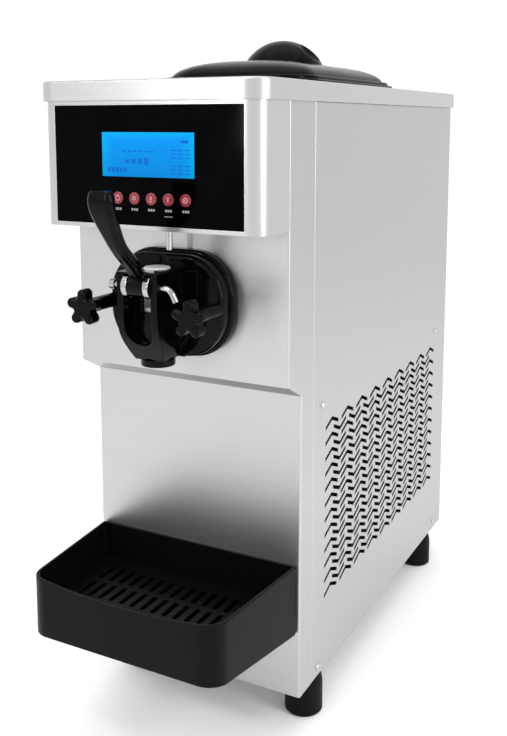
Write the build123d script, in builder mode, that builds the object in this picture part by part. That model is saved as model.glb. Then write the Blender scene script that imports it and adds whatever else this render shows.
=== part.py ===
from build123d import *
import os
from math import asin, cos, radians, sin, tan

os.makedirs("parts", exist_ok=True)

# Countertop soft-serve ice cream maker, in millimetres.
# Origin: on the surface the feet stand on, below the centre of the whole machine.
# +X is to the right as seen from the front, +Y runs to the back, +Z is up.

# ---------------------------------------------------------------- driving dimensions
width = 240.0  # outside of the side panels
depth = 487.0  # lower front panel to rear panel
body_height = 594.0  # cabinet underside to the top cover
foot_height = 44.0
sheet = 1.5  # stainless sheet of the casing
gap = 0.3  # assembly gap between parts that don't touch
running = 0.05  # radial clearance of a running fit

front_y = -167.5  # outside of the lower front panel
mid_y = front_y - 28.5  # outside of the upper front panel, which stands forward
housing_y = front_y - 83.0  # face of the display housing
seam_y = front_y + 28.0  # where the front shell's side flanges meet the side panels
rear_y = front_y + depth

base_z = foot_height
step_low_z = base_z + 313.0
step_high_z = base_z + 328.0
housing_z = base_z + 476.0
body_top_z = base_z + body_height
cap_height = 19.0
cap_top_z = body_top_z + cap_height
cap_overhang = 4.0

door_z = base_z + 402.0  # axis of the freezing barrel and middle of its door
door_width = 132.0
door_height = 104.0
door_corner = 45.0
door_back_y = mid_y - gap
door_front_y = front_y - 54.0
stud_x = 58.0
bore_y = front_y - 66.0  # vertical axis of the draw piston
pivot_y = front_y - 94.0  # axis of the draw lever's pin
pivot_z = base_z + 425.6
boss_top_z = base_z + 438.7
boss_front_y = front_y - 100.0
nozzle_z = base_z + 346.0

hopper_y = front_y + 210.0  # middle of the hopper and its lid
lid_width = 190.0
lid_length = 292.0
lid_corner = 42.0

tray_top_z = base_z + 140.0
tray_height = 72.0
tray_depth = 140.0
tray_back_width = 234.0
tray_front_width = 208.0
tray_wall = 3.0

drive_y = front_y + 342.0  # plane of the drive belt
motor_z = base_z + 286.0
fan_z = base_z + 104.0


# ---------------------------------------------------------------- shared helpers
def facing_front(y):
    """A sketch plane at y, seen from the front: local x is +X, local y is +Z, outwards is -Y."""
    return Plane(origin=(0, y, 0), x_dir=(1, 0, 0), z_dir=(0, -1, 0))


def facing_right(x):
    """A sketch plane at x: local x is +Y, local y is +Z, outwards is +X."""
    return Plane(origin=(x, 0, 0), x_dir=(0, 1, 0), z_dir=(1, 0, 0))


def dome(rim_radius, rim_z, top_z):
    """Rim, middle and top of a dome's profile, an arc whose centre is on the axis x = 0."""
    rise = top_z - rim_z
    radius = (rim_radius**2 + rise**2) / (2 * rise)
    half_angle = asin(rim_radius / radius) / 2
    middle = (radius * sin(half_angle), top_z - radius + radius * cos(half_angle))
    return (rim_radius, rim_z), middle, (0, top_z)


def save(piece, name):
    piece.part.label = name
    export_step(piece.part, f"parts/{name}.step")


# ---------------------------------------------------------------- casing
# Front shell: one folded sheet with a step, side flanges, a top flange and an open back.
fold_radius = 2.2  # outside radius of a bend in the sheet
barrel_hole_radius = 47.2
stud_radius = 4.0
cable_hole_width = 60.0
cable_hole_height = 30.0
display_z = base_z + 535.0

with BuildPart() as front_shell:
    with BuildSketch(facing_right(0)):
        Polygon(
            (seam_y, base_z),
            (front_y, base_z),
            (front_y, step_low_z),
            (mid_y, step_high_z),
            (mid_y, body_top_z),
            (seam_y, body_top_z),
        )
    extrude(amount=width / 2, both=True)
    folds = front_shell.edges().filter_by(
        lambda edge: abs(edge.center().X) > width / 2 - 1 and abs((edge % 0.5).Z) > 0.4
    )
    fillet(folds.filter_by(lambda edge: edge.center().Y < seam_y - 1), fold_radius)
    with BuildSketch(facing_right(0)):
        Polygon(
            (seam_y + 1, base_z - 1),
            (front_y + sheet, base_z - 1),
            (front_y + sheet, step_low_z + sheet / 2),
            (mid_y + sheet, step_high_z + sheet / 2),
            (mid_y + sheet, body_top_z - sheet),
            (seam_y + 1, body_top_z - sheet),
        )
    extrude(amount=width / 2 - sheet, both=True, mode=Mode.SUBTRACT)
    with BuildSketch(facing_front(mid_y + 2 * sheet)):
        with Locations((0, door_z)):
            Circle(barrel_hole_radius)
        with Locations((-stud_x, door_z), (stud_x, door_z)):
            Circle(stud_radius + gap)
        with Locations((0, display_z)):
            Rectangle(cable_hole_width, cable_hole_height)
    extrude(amount=4 * sheet, mode=Mode.SUBTRACT)
save(front_shell, "front_shell")

# Side panels: flat sheets with returned edges, two fields of interleaved chevron vents and four
# screw holes each.
vent_columns = 9
vent_rows = 12
vent_pitch = 42.6  # along the cabinet
vent_row_pitch = 16.6
vent_first_y = front_y + 77.1
vent_top_z = base_z + 269.8
vent_reach = 17.3  # horizontal run of one leg
vent_drop = 7.1  # fall of one leg
vent_slot = 4.2  # upright thickness of the slot
return_edge = 10.0
return_edge_ys = (seam_y + gap + sheet / 2, rear_y - 2.5 * sheet - gap)
screw_radius = 2.0
screw_places = [
    (front_y + 52, base_z + 290.5),
    (front_y + 439, base_z + 290),
    (front_y + 44, base_z + 9.5),
    (front_y + 451, base_z + 11),
]


def chevron(direction):
    """Slot outline about its apex: direction 1 has the apex on top, -1 has it at the bottom."""
    fall = -direction * vent_drop
    half = vent_slot / 2
    return Polygon(
        (-vent_reach, fall - half),
        (0, -half),
        (vent_reach, fall - half),
        (vent_reach, fall + half),
        (0, half),
        (-vent_reach, fall + half),
        mode=Mode.SUBTRACT,
    )


def side_panel(outer_x, direction):
    inner_x = outer_x - direction * sheet
    panel_length = rear_y - seam_y - gap
    panel_y = (rear_y + seam_y + gap) / 2
    panel_z = base_z + body_height / 2
    with BuildPart() as panel:
        with BuildSketch(facing_right(min(outer_x, inner_x))):
            with Locations((panel_y, panel_z)):
                Rectangle(panel_length, body_height - 2 * gap)
            peaks = [
                (vent_first_y + i * vent_pitch, vent_top_z - j * vent_row_pitch)
                for i in range(vent_columns)
                for j in range(vent_rows)
            ]
            troughs = [
                (y + vent_pitch / 2, z - vent_row_pitch - gap)
                for y, z in peaks
                if y < vent_first_y + (vent_columns - 1.5) * vent_pitch
                and z > vent_top_z - (vent_rows - 1.5) * vent_row_pitch
            ]
            with Locations(*peaks):
                chevron(1)
            with Locations(*troughs):
                chevron(-1)
            with Locations(*screw_places):
                Circle(screw_radius + running, mode=Mode.SUBTRACT)
        extrude(amount=sheet)
        with BuildSketch(Plane.XY.offset(base_z + gap)):
            for edge_y in return_edge_ys:
                with Locations((inner_x - direction * (return_edge / 2 - sheet / 4), edge_y)):
                    Rectangle(return_edge + sheet / 2, sheet)
        extrude(amount=body_height - 2 * gap)
        folds = panel.edges().filter_by(Axis.Z).filter_by(
            lambda edge: abs(edge.center().X - outer_x) < 0.1 and edge.length > body_height / 2
        )
        fillet(folds, sheet - 0.1)
    return panel


save(side_panel(width / 2, 1), "right_side_panel")
save(side_panel(-width / 2, -1), "left_side_panel")

# Rear panel: a flat sheet with rows of cooling louvres and the cut-out of the power inlet.
inlet_x = 70.0
inlet_z = base_z + 62.0
inlet_width = 28.0
inlet_height = 21.0
louvre_rows = 14
louvre_pitch = 15.0
louvre_width = 52.0
louvre_height = 5.0
rear_width = width - 2 * sheet - 2 * gap
rear_screw_places = [
    (x * (rear_width / 2 - 12), base_z + body_height / 2 + z * (body_height / 2 - 40))
    for x in (-1, 1)
    for z in (-1, 1)
]

with BuildPart() as rear_panel:
    with BuildSketch(facing_front(rear_y)):
        with Locations((0, base_z + body_height / 2)):
            Rectangle(rear_width, body_height - 2 * gap)
        with Locations((0, base_z + 210)):
            with GridLocations(louvre_width + 12, louvre_pitch, 3, louvre_rows):
                SlotOverall(louvre_width, louvre_height, mode=Mode.SUBTRACT)
        with Locations((inlet_x, inlet_z)):
            Rectangle(inlet_width + 2 * gap, inlet_height + 2 * gap, mode=Mode.SUBTRACT)
        with Locations(*rear_screw_places):
            Circle(screw_radius + running, mode=Mode.SUBTRACT)
    extrude(amount=sheet)
save(rear_panel, "rear_panel")

# Top cover: a folded tray upside down, with a turned-in bottom edge and the hopper cut-out.
cap_front_corner = 21.0
cap_rear_corner = 6.0
cap_edge = 2.5
cap_width = width + 2 * cap_overhang
cap_front_y = housing_y - cap_overhang
cap_rear_y = rear_y + cap_overhang
cap_length = cap_rear_y - cap_front_y
cap_y = (cap_rear_y + cap_front_y) / 2
cap_turn_in = 14.0
well_width = 156.0
well_length = 246.0
well_corner = 36.0


def cap_outline(inset):
    with BuildSketch(Plane.XY) as outline:
        with Locations((0, cap_y)):
            Rectangle(cap_width - 2 * inset, cap_length - 2 * inset)
        fillet(outline.vertices().group_by(Axis.Y)[0], cap_front_corner - inset)
        fillet(outline.vertices().group_by(Axis.Y)[-1], cap_rear_corner - inset)
    return outline.sketch


with BuildPart() as top_cover:
    with BuildSketch(Plane.XY.offset(body_top_z)):
        add(cap_outline(0))
    extrude(amount=cap_height)
    fillet(top_cover.faces().sort_by(Axis.Z)[-1].edges(), cap_edge)
    with BuildSketch(Plane.XY.offset(body_top_z + sheet)):
        add(cap_outline(sheet))
    extrude(amount=cap_height - 2 * sheet, mode=Mode.SUBTRACT)
    with BuildSketch(Plane.XY.offset(body_top_z - 1)):
        with Locations((0, cap_y)):
            Rectangle(cap_width - 2 * cap_turn_in, cap_length - 2 * cap_turn_in)
    extrude(amount=sheet + 2, mode=Mode.SUBTRACT)
    with BuildSketch(Plane.XY.offset(cap_top_z - 2 * sheet)):
        with Locations((0, hopper_y)):
            RectangleRounded(well_width + 4, well_length + 4, well_corner + 2)
    extrude(amount=3 * sheet, mode=Mode.SUBTRACT)
save(top_cover, "top_cover")

# Base pan: a shallow folded tray that carries the feet, the compressor and the condenser.
foot_x = 102.0
foot_front_y = front_y + 50.0
foot_rear_y = front_y + 430.0
foot_places = [(x, y) for x in (-foot_x, foot_x) for y in (foot_front_y, foot_rear_y)]
foot_bolt_radius = 5.0
pan_width = width - 2 * sheet - 2 * gap
pan_front_y = front_y + sheet + gap
pan_rear_y = rear_y - 3 * sheet - 2 * gap
pan_length = pan_rear_y - pan_front_y
pan_y = (pan_front_y + pan_rear_y) / 2
pan_sheet = 2.0
pan_rim = 22.0
pan_rim_gap = 52.0  # the rim stops either side of a foot

with BuildPart() as base_pan:
    with BuildSketch(Plane.XY.offset(base_z)):
        with Locations((0, pan_y)):
            Rectangle(pan_width, pan_length)
        for side in (-1, 1):
            for edge_y in return_edge_ys:
                with Locations((side * (width / 2 - sheet), edge_y)):
                    Rectangle(2 * return_edge + 2, sheet + 2, mode=Mode.SUBTRACT)
        with Locations(*foot_places):
            Circle(foot_bolt_radius + running, mode=Mode.SUBTRACT)
    extrude(amount=pan_sheet)
    with BuildSketch(Plane.XY.offset(base_z + pan_sheet)):
        with Locations((0, pan_y)):
            Rectangle(pan_width, pan_length)
            Rectangle(pan_width - 2 * pan_sheet, pan_length - 2 * pan_sheet, mode=Mode.SUBTRACT)
        with Locations((0, foot_front_y), (0, foot_rear_y)):
            Rectangle(width, pan_rim_gap, mode=Mode.SUBTRACT)
    extrude(amount=pan_rim)
save(base_pan, "base_pan")

# Corner posts and the ring that stiffens the top of the casing.
post_leg = 16.0
post_x = 106.0
post_ys = (front_y + 74.0, front_y + 466.0)
ring_height = 10.0

with BuildPart() as inner_frame:
    with BuildSketch(Plane.XY.offset(base_z + pan_sheet)):
        for post_y in post_ys:
            for side in (-1, 1):
                with Locations((side * post_x, post_y)):
                    Rectangle(post_leg, post_leg)
                with Locations((side * (post_x - pan_sheet), post_y + pan_sheet)):
                    Rectangle(post_leg, post_leg, mode=Mode.SUBTRACT)
    extrude(amount=body_height - pan_sheet - ring_height - gap)
    with BuildSketch(Plane.XY.offset(body_top_z - ring_height - gap)):
        with Locations((0, (post_ys[0] + post_ys[1]) / 2)):
            Rectangle(2 * post_x + post_leg, post_ys[1] - post_ys[0] + post_leg)
        with Locations((0, hopper_y)):
            Rectangle(well_width + 14, well_length + 8, mode=Mode.SUBTRACT)
    extrude(amount=ring_height)
save(inner_frame, "inner_frame")

# Casing screws: pan heads outside the side panels and the rear panel.
head_radius = 3.6
head_height = 1.8
screw_length = 8.0

with BuildPart() as casing_screws:
    for side in (-1, 1):
        with BuildSketch(facing_right(side * width / 2)):
            with Locations(*screw_places):
                Circle(head_radius)
        extrude(amount=side * head_height)
        with BuildSketch(facing_right(side * width / 2)):
            with Locations(*screw_places):
                Circle(screw_radius)
        extrude(amount=-side * screw_length)
    with BuildSketch(facing_front(rear_y)):
        with Locations(*rear_screw_places):
            Circle(head_radius)
    extrude(amount=-head_height)
    with BuildSketch(facing_front(rear_y)):
        with Locations(*rear_screw_places):
            Circle(screw_radius)
    extrude(amount=screw_length)
save(casing_screws, "casing_screws")

# ---------------------------------------------------------------- feet
foot_radius = 20.0
foot_neck_radius = 17.0
foot_core_radius = 5.4
foot_core_z = 10.0
foot_chamfer = 2.0
foot_shoulder_z = foot_height - 14.0

with BuildPart() as feet:
    for x, y in foot_places:
        with BuildSketch(Plane(origin=(x, y, 0), x_dir=(1, 0, 0), z_dir=(0, -1, 0))):
            with BuildLine():
                Polyline(
                    (foot_core_radius, foot_height),
                    (foot_core_radius, foot_core_z),
                    (0, foot_core_z),
                    (0, 0),
                    (foot_radius - foot_chamfer, 0),
                    (foot_radius, foot_chamfer),
                    (foot_radius, foot_shoulder_z),
                )
                Spline(
                    (foot_radius, foot_shoulder_z),
                    (foot_radius - 0.8, foot_shoulder_z + 7),
                    (foot_neck_radius, foot_height),
                    tangents=((0, 1), (-0.45, 1)),
                )
                Line((foot_neck_radius, foot_height), (foot_core_radius, foot_height))
            make_face()
        revolve(axis=Axis((x, y, 0), (0, 0, 1)))
save(feet, "feet")

# Foot bolts: each passes through the base pan into its foot and is held by a nut.
nut_radius = 8.5
nut_height = 8.0
with BuildPart() as foot_bolts:
    with BuildSketch(Plane.XY.offset(foot_core_z + 2)):
        with Locations(*foot_places):
            Circle(foot_bolt_radius)
    extrude(amount=foot_height + pan_sheet)
    with BuildSketch(Plane.XY.offset(base_z + pan_sheet)):
        with Locations(*foot_places):
            RegularPolygon(nut_radius, 6)
    extrude(amount=nut_height)
save(foot_bolts, "foot_bolts")

# ---------------------------------------------------------------- display
# Housing: the full-width box under the top cover, with rounded upright front corners and a window.
housing_height = body_top_z - housing_z
housing_corner = 17.0
glass_width = 205.2
glass_height = 110.6
glass_thickness = 3.0
housing_depth = mid_y - housing_y
rod_x = 4.0  # the door rod passes through the housing's floor
rod_y = front_y - 50.0
rod_radius = 3.0


def housing_outline(inset):
    with BuildSketch(Plane.XY) as outline:
        with Locations((0, (mid_y + housing_y) / 2)):
            Rectangle(width - 2 * inset, housing_depth - 2 * inset)
        fillet(outline.vertices().group_by(Axis.Y)[0], housing_corner - inset)
    return outline.sketch


with BuildPart() as display_housing:
    with BuildSketch(Plane.XY.offset(housing_z)):
        add(housing_outline(0))
    extrude(amount=housing_height)
    with BuildSketch(Plane.XY.offset(housing_z + sheet)):
        add(housing_outline(sheet))
        with Locations((0, mid_y)):
            Rectangle(width - 2 * sheet, 4 * sheet)
    extrude(amount=housing_height - 2 * sheet, mode=Mode.SUBTRACT)
    with BuildSketch(facing_front(housing_y + 2 * sheet)):
        with Locations((0, display_z)):
            Rectangle(glass_width, glass_height)
    extrude(amount=4 * sheet, mode=Mode.SUBTRACT)
    with BuildSketch(Plane.XY.offset(housing_z - 1)):
        with Locations((rod_x, rod_y)):
            Circle(rod_radius + gap)
    extrude(amount=sheet + 2, mode=Mode.SUBTRACT)
save(display_housing, "display_housing")

# Display glass: a black panel with the LCD window and five round button holes.
lcd_x = 2.3
lcd_z = base_z + 545.0
lcd_width = 100.0
lcd_height = 40.4
lcd_carrier = 4.0
button_radius = 5.7
button_z = base_z + 505.0
button_xs = [-30.4, -12.0, 6.4, 24.8, 43.2]
glass_y = housing_y - 0.4

with BuildPart() as display_glass:
    with BuildSketch(facing_front(glass_y + glass_thickness)):
        with Locations((0, display_z)):
            Rectangle(glass_width - 2 * gap, glass_height - 2 * gap)
        with Locations((lcd_x, lcd_z)):
            Rectangle(lcd_width + gap, lcd_height + gap, mode=Mode.SUBTRACT)
        with Locations(*[(x, button_z) for x in button_xs]):
            Circle(button_radius + 0.15, mode=Mode.SUBTRACT)
    extrude(amount=glass_thickness)
    chamfer(display_glass.faces().sort_by(Axis.Y)[0].outer_wire().edges(), 0.4)
save(display_glass, "display_glass")

# LCD module: the lit window, with its carrier frame behind the glass.
with BuildPart() as lcd_module:
    with BuildSketch(facing_front(glass_y + glass_thickness + lcd_carrier)):
        with Locations((lcd_x, lcd_z)):
            Rectangle(lcd_width + 2 * lcd_carrier, lcd_height + 2 * lcd_carrier)
    extrude(amount=lcd_carrier - gap)
    with BuildSketch(facing_front(glass_y + glass_thickness + 1)):
        with Locations((lcd_x, lcd_z)):
            Rectangle(lcd_width, lcd_height)
    extrude(amount=glass_thickness + 0.7)
save(lcd_module, "lcd_module")

# Control board: circuit board with five tact switches, a controller and a connector.
board_y = glass_y + glass_thickness + 13.0
board_width = 180.0
board_height = 92.0
board_thickness = 1.6
switch_size = 6.0
switch_height = 4.4
chip_size = 16.0
chip_height = 2.5
with BuildPart() as control_board:
    with BuildSketch(facing_front(board_y + board_thickness)):
        with Locations((0, display_z - 5)):
            Rectangle(board_width, board_height)
    extrude(amount=board_thickness)
    with BuildSketch(facing_front(board_y)):
        with Locations(*[(x, button_z) for x in button_xs]):
            Rectangle(switch_size, switch_size)
    extrude(amount=switch_height)
    with BuildSketch(facing_front(board_y + board_thickness)):
        with Locations((lcd_x, lcd_z)):
            Rectangle(lcd_width - 10, lcd_height - 10)
    extrude(amount=-3)
    with BuildSketch(facing_front(board_y)):
        with Locations((-70, lcd_z), (70, lcd_z)):
            Rectangle(chip_size, chip_size)
    extrude(amount=chip_height)
save(control_board, "control_board")

# Buttons: five round caps that travel in the glass and press the switches behind them.
button_travel = 1.2
button_proud = 0.8
button_flange = 1.0
plunger_radius = 2.0
plunger_length = 6.0
button_names = ["button_standby", "button_chill", "button_single", "button_mix", "button_set"]
for name, x in zip(button_names, button_xs):
    with BuildPart() as button:
        with BuildSketch(facing_front(glass_y + glass_thickness + gap)):
            with Locations((x, button_z)):
                Circle(button_radius)
        extrude(amount=glass_thickness + gap + button_proud)
        fillet(button.faces().sort_by(Axis.Y)[0].edges(), 0.5)
        with BuildSketch(facing_front(glass_y + glass_thickness + 2.0)):
            with Locations((x, button_z)):
                Circle(button_radius + button_flange)
        extrude(amount=2.0 - gap)
        with BuildSketch(facing_front(board_y - switch_height - button_travel - gap)):
            with Locations((x, button_z)):
                Circle(plunger_radius)
        extrude(amount=plunger_length)
    save(button, name)

# Door rod: a sprung steel rod that stands on the door and works the door switch in the housing.
rod_foot_z = base_z + 454.0
rod_travel = 3.0
rod_length = 34.0
rod_collar_radius = 5.5
with BuildPart() as door_rod:
    with BuildSketch(Plane.XY.offset(rod_foot_z + gap)):
        with Locations((rod_x, rod_y)):
            Circle(rod_radius)
    extrude(amount=rod_length)
    with BuildSketch(Plane.XY.offset(housing_z + sheet + gap)):
        with Locations((rod_x, rod_y)):
            Circle(rod_collar_radius)
    extrude(amount=2)
save(door_rod, "door_rod")

# Door switch: a small switch body above the rod, on a bent arm from the front panel.
switch_z = rod_foot_z + rod_length + rod_travel + 2 * gap
switch_width = 20.0
switch_depth = 10.0
arm_sheet = 2.0
arm_reach = 2 * (mid_y - rod_y - 8 - gap) - 6
with BuildPart() as door_switch:
    with BuildSketch(Plane.XY.offset(switch_z)):
        with Locations((rod_x, rod_y + 2)):
            Rectangle(switch_width, switch_depth)
    extrude(amount=switch_depth)
    with BuildSketch(facing_right(rod_x - switch_width / 2)):
        with Locations((rod_y + 6, switch_z + switch_depth / 2)):
            Rectangle(arm_sheet, switch_depth)
        with Locations((rod_y + 8, switch_z + switch_depth - arm_sheet / 2)):
            Rectangle(arm_reach, arm_sheet)
    extrude(amount=switch_width)
save(door_switch, "door_switch")

# ---------------------------------------------------------------- freezing door and draw valve
boss_half = 22.0
slot_half = 15.0
slot_back_y = front_y - 82.4
slot_floor_z = base_z + 369.0
bore_radius = 13.0
pin_radius = 3.0
rim_depth = 10.0
face_inset = 3.0
plug_radius = 42.5
plug_depth = 12.0
nozzle_radius = 16.5
nozzle_height = 7.0
boss_foot_half = 15.0  # the boss narrows to this above the nozzle
pad_depth = 5.0
pad_half = 40.0
passage_radius = 8.0
passage_z = base_z + 372.0
finger_half = 6.0
boss_back_y = door_front_y + 4.0
sweep_z = door_z - 6.0  # where the boss's front starts to sweep back
neck_z = nozzle_z + 40.0  # where the boss starts to narrow
window_z = base_z + 424.0
window_height = 50.0

# Freezer door: a plate with a plug on the back and a boss that holds the draw valve.
with BuildPart() as freezer_door:
    with BuildSketch(facing_front(door_back_y)):
        with Locations((0, door_z)):
            RectangleRounded(door_width, door_height, door_corner)
    extrude(amount=rim_depth)
    fillet(freezer_door.faces().sort_by(Axis.Y)[0].edges(), 2.5)
    with BuildSketch(facing_front(door_back_y)):
        with Locations((0, door_z)):
            RectangleRounded(
                door_width - 2 * face_inset, door_height - 2 * face_inset, door_corner - face_inset
            )
    extrude(amount=door_back_y - door_front_y)
    fillet(freezer_door.faces().sort_by(Axis.Y)[0].edges(), 4)
    # forward boss: upright front, swept back to the nozzle at the bottom
    with BuildSketch(facing_right(-boss_half)):
        with BuildLine():
            Polyline(
                (bore_y + boss_foot_half, nozzle_z + nozzle_height),
                (boss_back_y, nozzle_z + nozzle_height + 8),
                (boss_back_y, boss_top_z),
                (boss_front_y, boss_top_z),
                (boss_front_y, sweep_z),
            )
            Spline(
                (boss_front_y, sweep_z),
                (boss_front_y + 5, nozzle_z + 30),
                (bore_y - boss_foot_half, nozzle_z + nozzle_height),
                tangents=((0, -1), (0.6, -1)),
            )
            Line(
                (bore_y - boss_foot_half, nozzle_z + nozzle_height),
                (bore_y + boss_foot_half, nozzle_z + nozzle_height),
            )
        make_face()
    extrude(amount=2 * boss_half)
    # the boss narrows to the nozzle's width below the slot
    for side in (-1, 1):
        with BuildSketch(facing_front(door_front_y - 0.02)):
            with BuildLine():
                Polyline(
                    (side * (boss_half + 1), neck_z),
                    (side * boss_half, neck_z),
                )
                Spline(
                    (side * boss_half, neck_z),
                    (side * (boss_half - 1.4), neck_z - 16),
                    (side * boss_foot_half, nozzle_z + nozzle_height - 0.5),
                    tangents=((0, -1), (-side * 0.5, -1)),
                )
                Polyline(
                    (side * boss_foot_half, nozzle_z + nozzle_height - 0.5),
                    (side * (boss_half + 1), nozzle_z + nozzle_height - 0.5),
                    (side * (boss_half + 1), neck_z),
                )
            make_face()
        extrude(amount=60, mode=Mode.SUBTRACT)
    # raised pad behind the boss
    with BuildSketch(facing_front(door_front_y + 1)):
        Polygon(
            (-pad_half, boss_top_z - 2),
            (pad_half, boss_top_z - 2),
            (pad_half, door_z - 4),
            (boss_half, neck_z - 22),
            (-boss_half, neck_z - 22),
            (-pad_half, door_z - 4),
        )
    extrude(amount=pad_depth + 1)
    # lever slot, open to the front and to the top
    with BuildSketch(facing_front(slot_back_y)):
        with Locations((0, slot_floor_z + slot_half)):
            Circle(slot_half)
        with Locations((0, (slot_floor_z + slot_half + boss_top_z + 10) / 2)):
            Rectangle(2 * slot_half, boss_top_z + 10 - slot_floor_z - slot_half)
    extrude(amount=30, mode=Mode.SUBTRACT)
    # plug that fills the mouth of the barrel
    with BuildSketch(facing_front(door_back_y + plug_depth)):
        with Locations((0, door_z)):
            Circle(plug_radius)
    extrude(amount=plug_depth + 1)
    # upright piston bore, down through the nozzle seat
    with BuildSketch(Plane.XY.offset(nozzle_z)):
        with Locations((0, bore_y)):
            Circle(bore_radius + running)
    extrude(amount=140, mode=Mode.SUBTRACT)
    # product passage from the barrel to the bore
    with BuildSketch(facing_front(door_back_y + plug_depth + 1)):
        with Locations((0, passage_z)):
            Circle(passage_radius)
    extrude(amount=door_back_y + plug_depth + 1 - bore_y, mode=Mode.SUBTRACT)
    # window between slot and bore for the lever's finger
    with BuildSketch(facing_front(bore_y)):
        with Locations((0, window_z)):
            Rectangle(2 * finger_half + 3, window_height)
    extrude(amount=20, mode=Mode.SUBTRACT)
    # pivot pin holes and stud holes
    with BuildSketch(facing_right(-boss_half - 1)):
        with Locations((pivot_y, pivot_z)):
            Circle(pin_radius + running)
    extrude(amount=2 * boss_half + 2, mode=Mode.SUBTRACT)
    with BuildSketch(facing_front(door_back_y + 1)):
        with Locations((-stud_x, door_z), (stud_x, door_z)):
            Circle(stud_radius + gap)
    extrude(amount=40, mode=Mode.SUBTRACT)
save(freezer_door, "freezer_door")

# Door seal: a flat rubber ring round the plug, between the door and the barrel's mouth.
with BuildPart() as door_seal:
    with BuildSketch(facing_front(mid_y + sheet)):
        with Locations((0, door_z)):
            Circle(barrel_hole_radius - gap)
            Circle(plug_radius + gap, mode=Mode.SUBTRACT)
    extrude(amount=sheet)
save(door_seal, "door_seal")

# Star nozzle: a screwed-on ring with a star-shaped outlet.
star_points = 6
star_outer = 10.5
star_inner = 6.5
with BuildPart() as nozzle_cap:
    with BuildSketch(Plane.XY.offset(nozzle_z)):
        with Locations((0, bore_y)):
            Circle(nozzle_radius)
    extrude(amount=nozzle_height - gap)
    fillet(nozzle_cap.faces().sort_by(Axis.Z)[0].edges(), 1.2)
    with BuildSketch(Plane.XY.offset(nozzle_z - 1)):
        with BuildLine():
            star = [
                (
                    (star_outer if i % 2 else star_inner) * cos(radians(180 * i / star_points)),
                    bore_y + (star_outer if i % 2 else star_inner) * sin(radians(180 * i / star_points)),
                )
                for i in range(2 * star_points)
            ]
            Polyline(*star, close=True)
        make_face()
    extrude(amount=nozzle_height + 2, mode=Mode.SUBTRACT)
save(nozzle_cap, "nozzle_cap")

# Draw piston: slides in the bore; its cross slot takes the lever's finger.
piston_foot_z = base_z + 356.0
piston_top_z = base_z + 440.0
finger_angle = 20.0  # the finger points this far below the horizontal at rest
finger_reach = pivot_y - bore_y
finger_z = pivot_z + finger_reach * tan(radians(finger_angle))
finger_height = 9.0
finger_thickness = 6.5
ring_groove = 1.6
seal_zs = (piston_foot_z + 8, piston_foot_z + 38)
with BuildPart() as draw_piston:
    with BuildSketch(Plane.XY.offset(piston_foot_z)):
        with Locations((0, bore_y)):
            Circle(bore_radius)
    extrude(amount=piston_top_z - piston_foot_z)
    chamfer(draw_piston.faces().sort_by(Axis.Z)[-1].edges(), 1.2)
    for back_y, slot_height in ((bore_y + 8, finger_height + 1), (bore_y - 3, 26)):
        with BuildSketch(facing_front(back_y)):
            with Locations((0, finger_z)):
                Rectangle(2 * finger_half + 2, slot_height)
        extrude(amount=40, mode=Mode.SUBTRACT)
    for seal_z in seal_zs:
        with BuildSketch(Plane.XY.offset(seal_z - ring_groove)):
            with Locations((0, bore_y)):
                Circle(bore_radius + 1)
                Circle(bore_radius - 2 * ring_groove, mode=Mode.SUBTRACT)
        extrude(amount=2 * ring_groove, mode=Mode.SUBTRACT)
save(draw_piston, "draw_piston")

with BuildPart() as piston_seals:
    for seal_z in seal_zs:
        with BuildSketch(Plane.XY.offset(seal_z - ring_groove + 0.1)):
            with Locations((0, bore_y)):
                Circle(bore_radius - 0.02)
                Circle(bore_radius - 2 * ring_groove + 0.02, mode=Mode.SUBTRACT)
        extrude(amount=2 * ring_groove - 0.2)
save(piston_seals, "piston_seals")

# Draw lever: hub between the arms, finger into the piston, neck and flat-topped grip.
hub_half = 8.6
hub_radius = 10.4
lip_half = slot_half - 0.4
lip_thickness = 1.5
grip_sections = [
    # forward of the lower front panel, above the underside, lean, width, thickness
    (92.0, 434.5, 40.0, 14.5, 10.5),
    (104.5, 444.5, 42.0, 14.5, 12.0),
    (118.0, 457.0, 45.0, 15.0, 12.5),
    (131.0, 471.5, 53.0, 16.5, 12.5),
    (141.0, 486.5, 67.0, 21.0, 12.0),
    (148.5, 500.5, 82.0, 25.0, 11.8),
    (150.0, 510.0, 90.0, 25.5, 11.4),
    (150.1, 516.5, 90.0, 20.0, 7.0),
]

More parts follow.
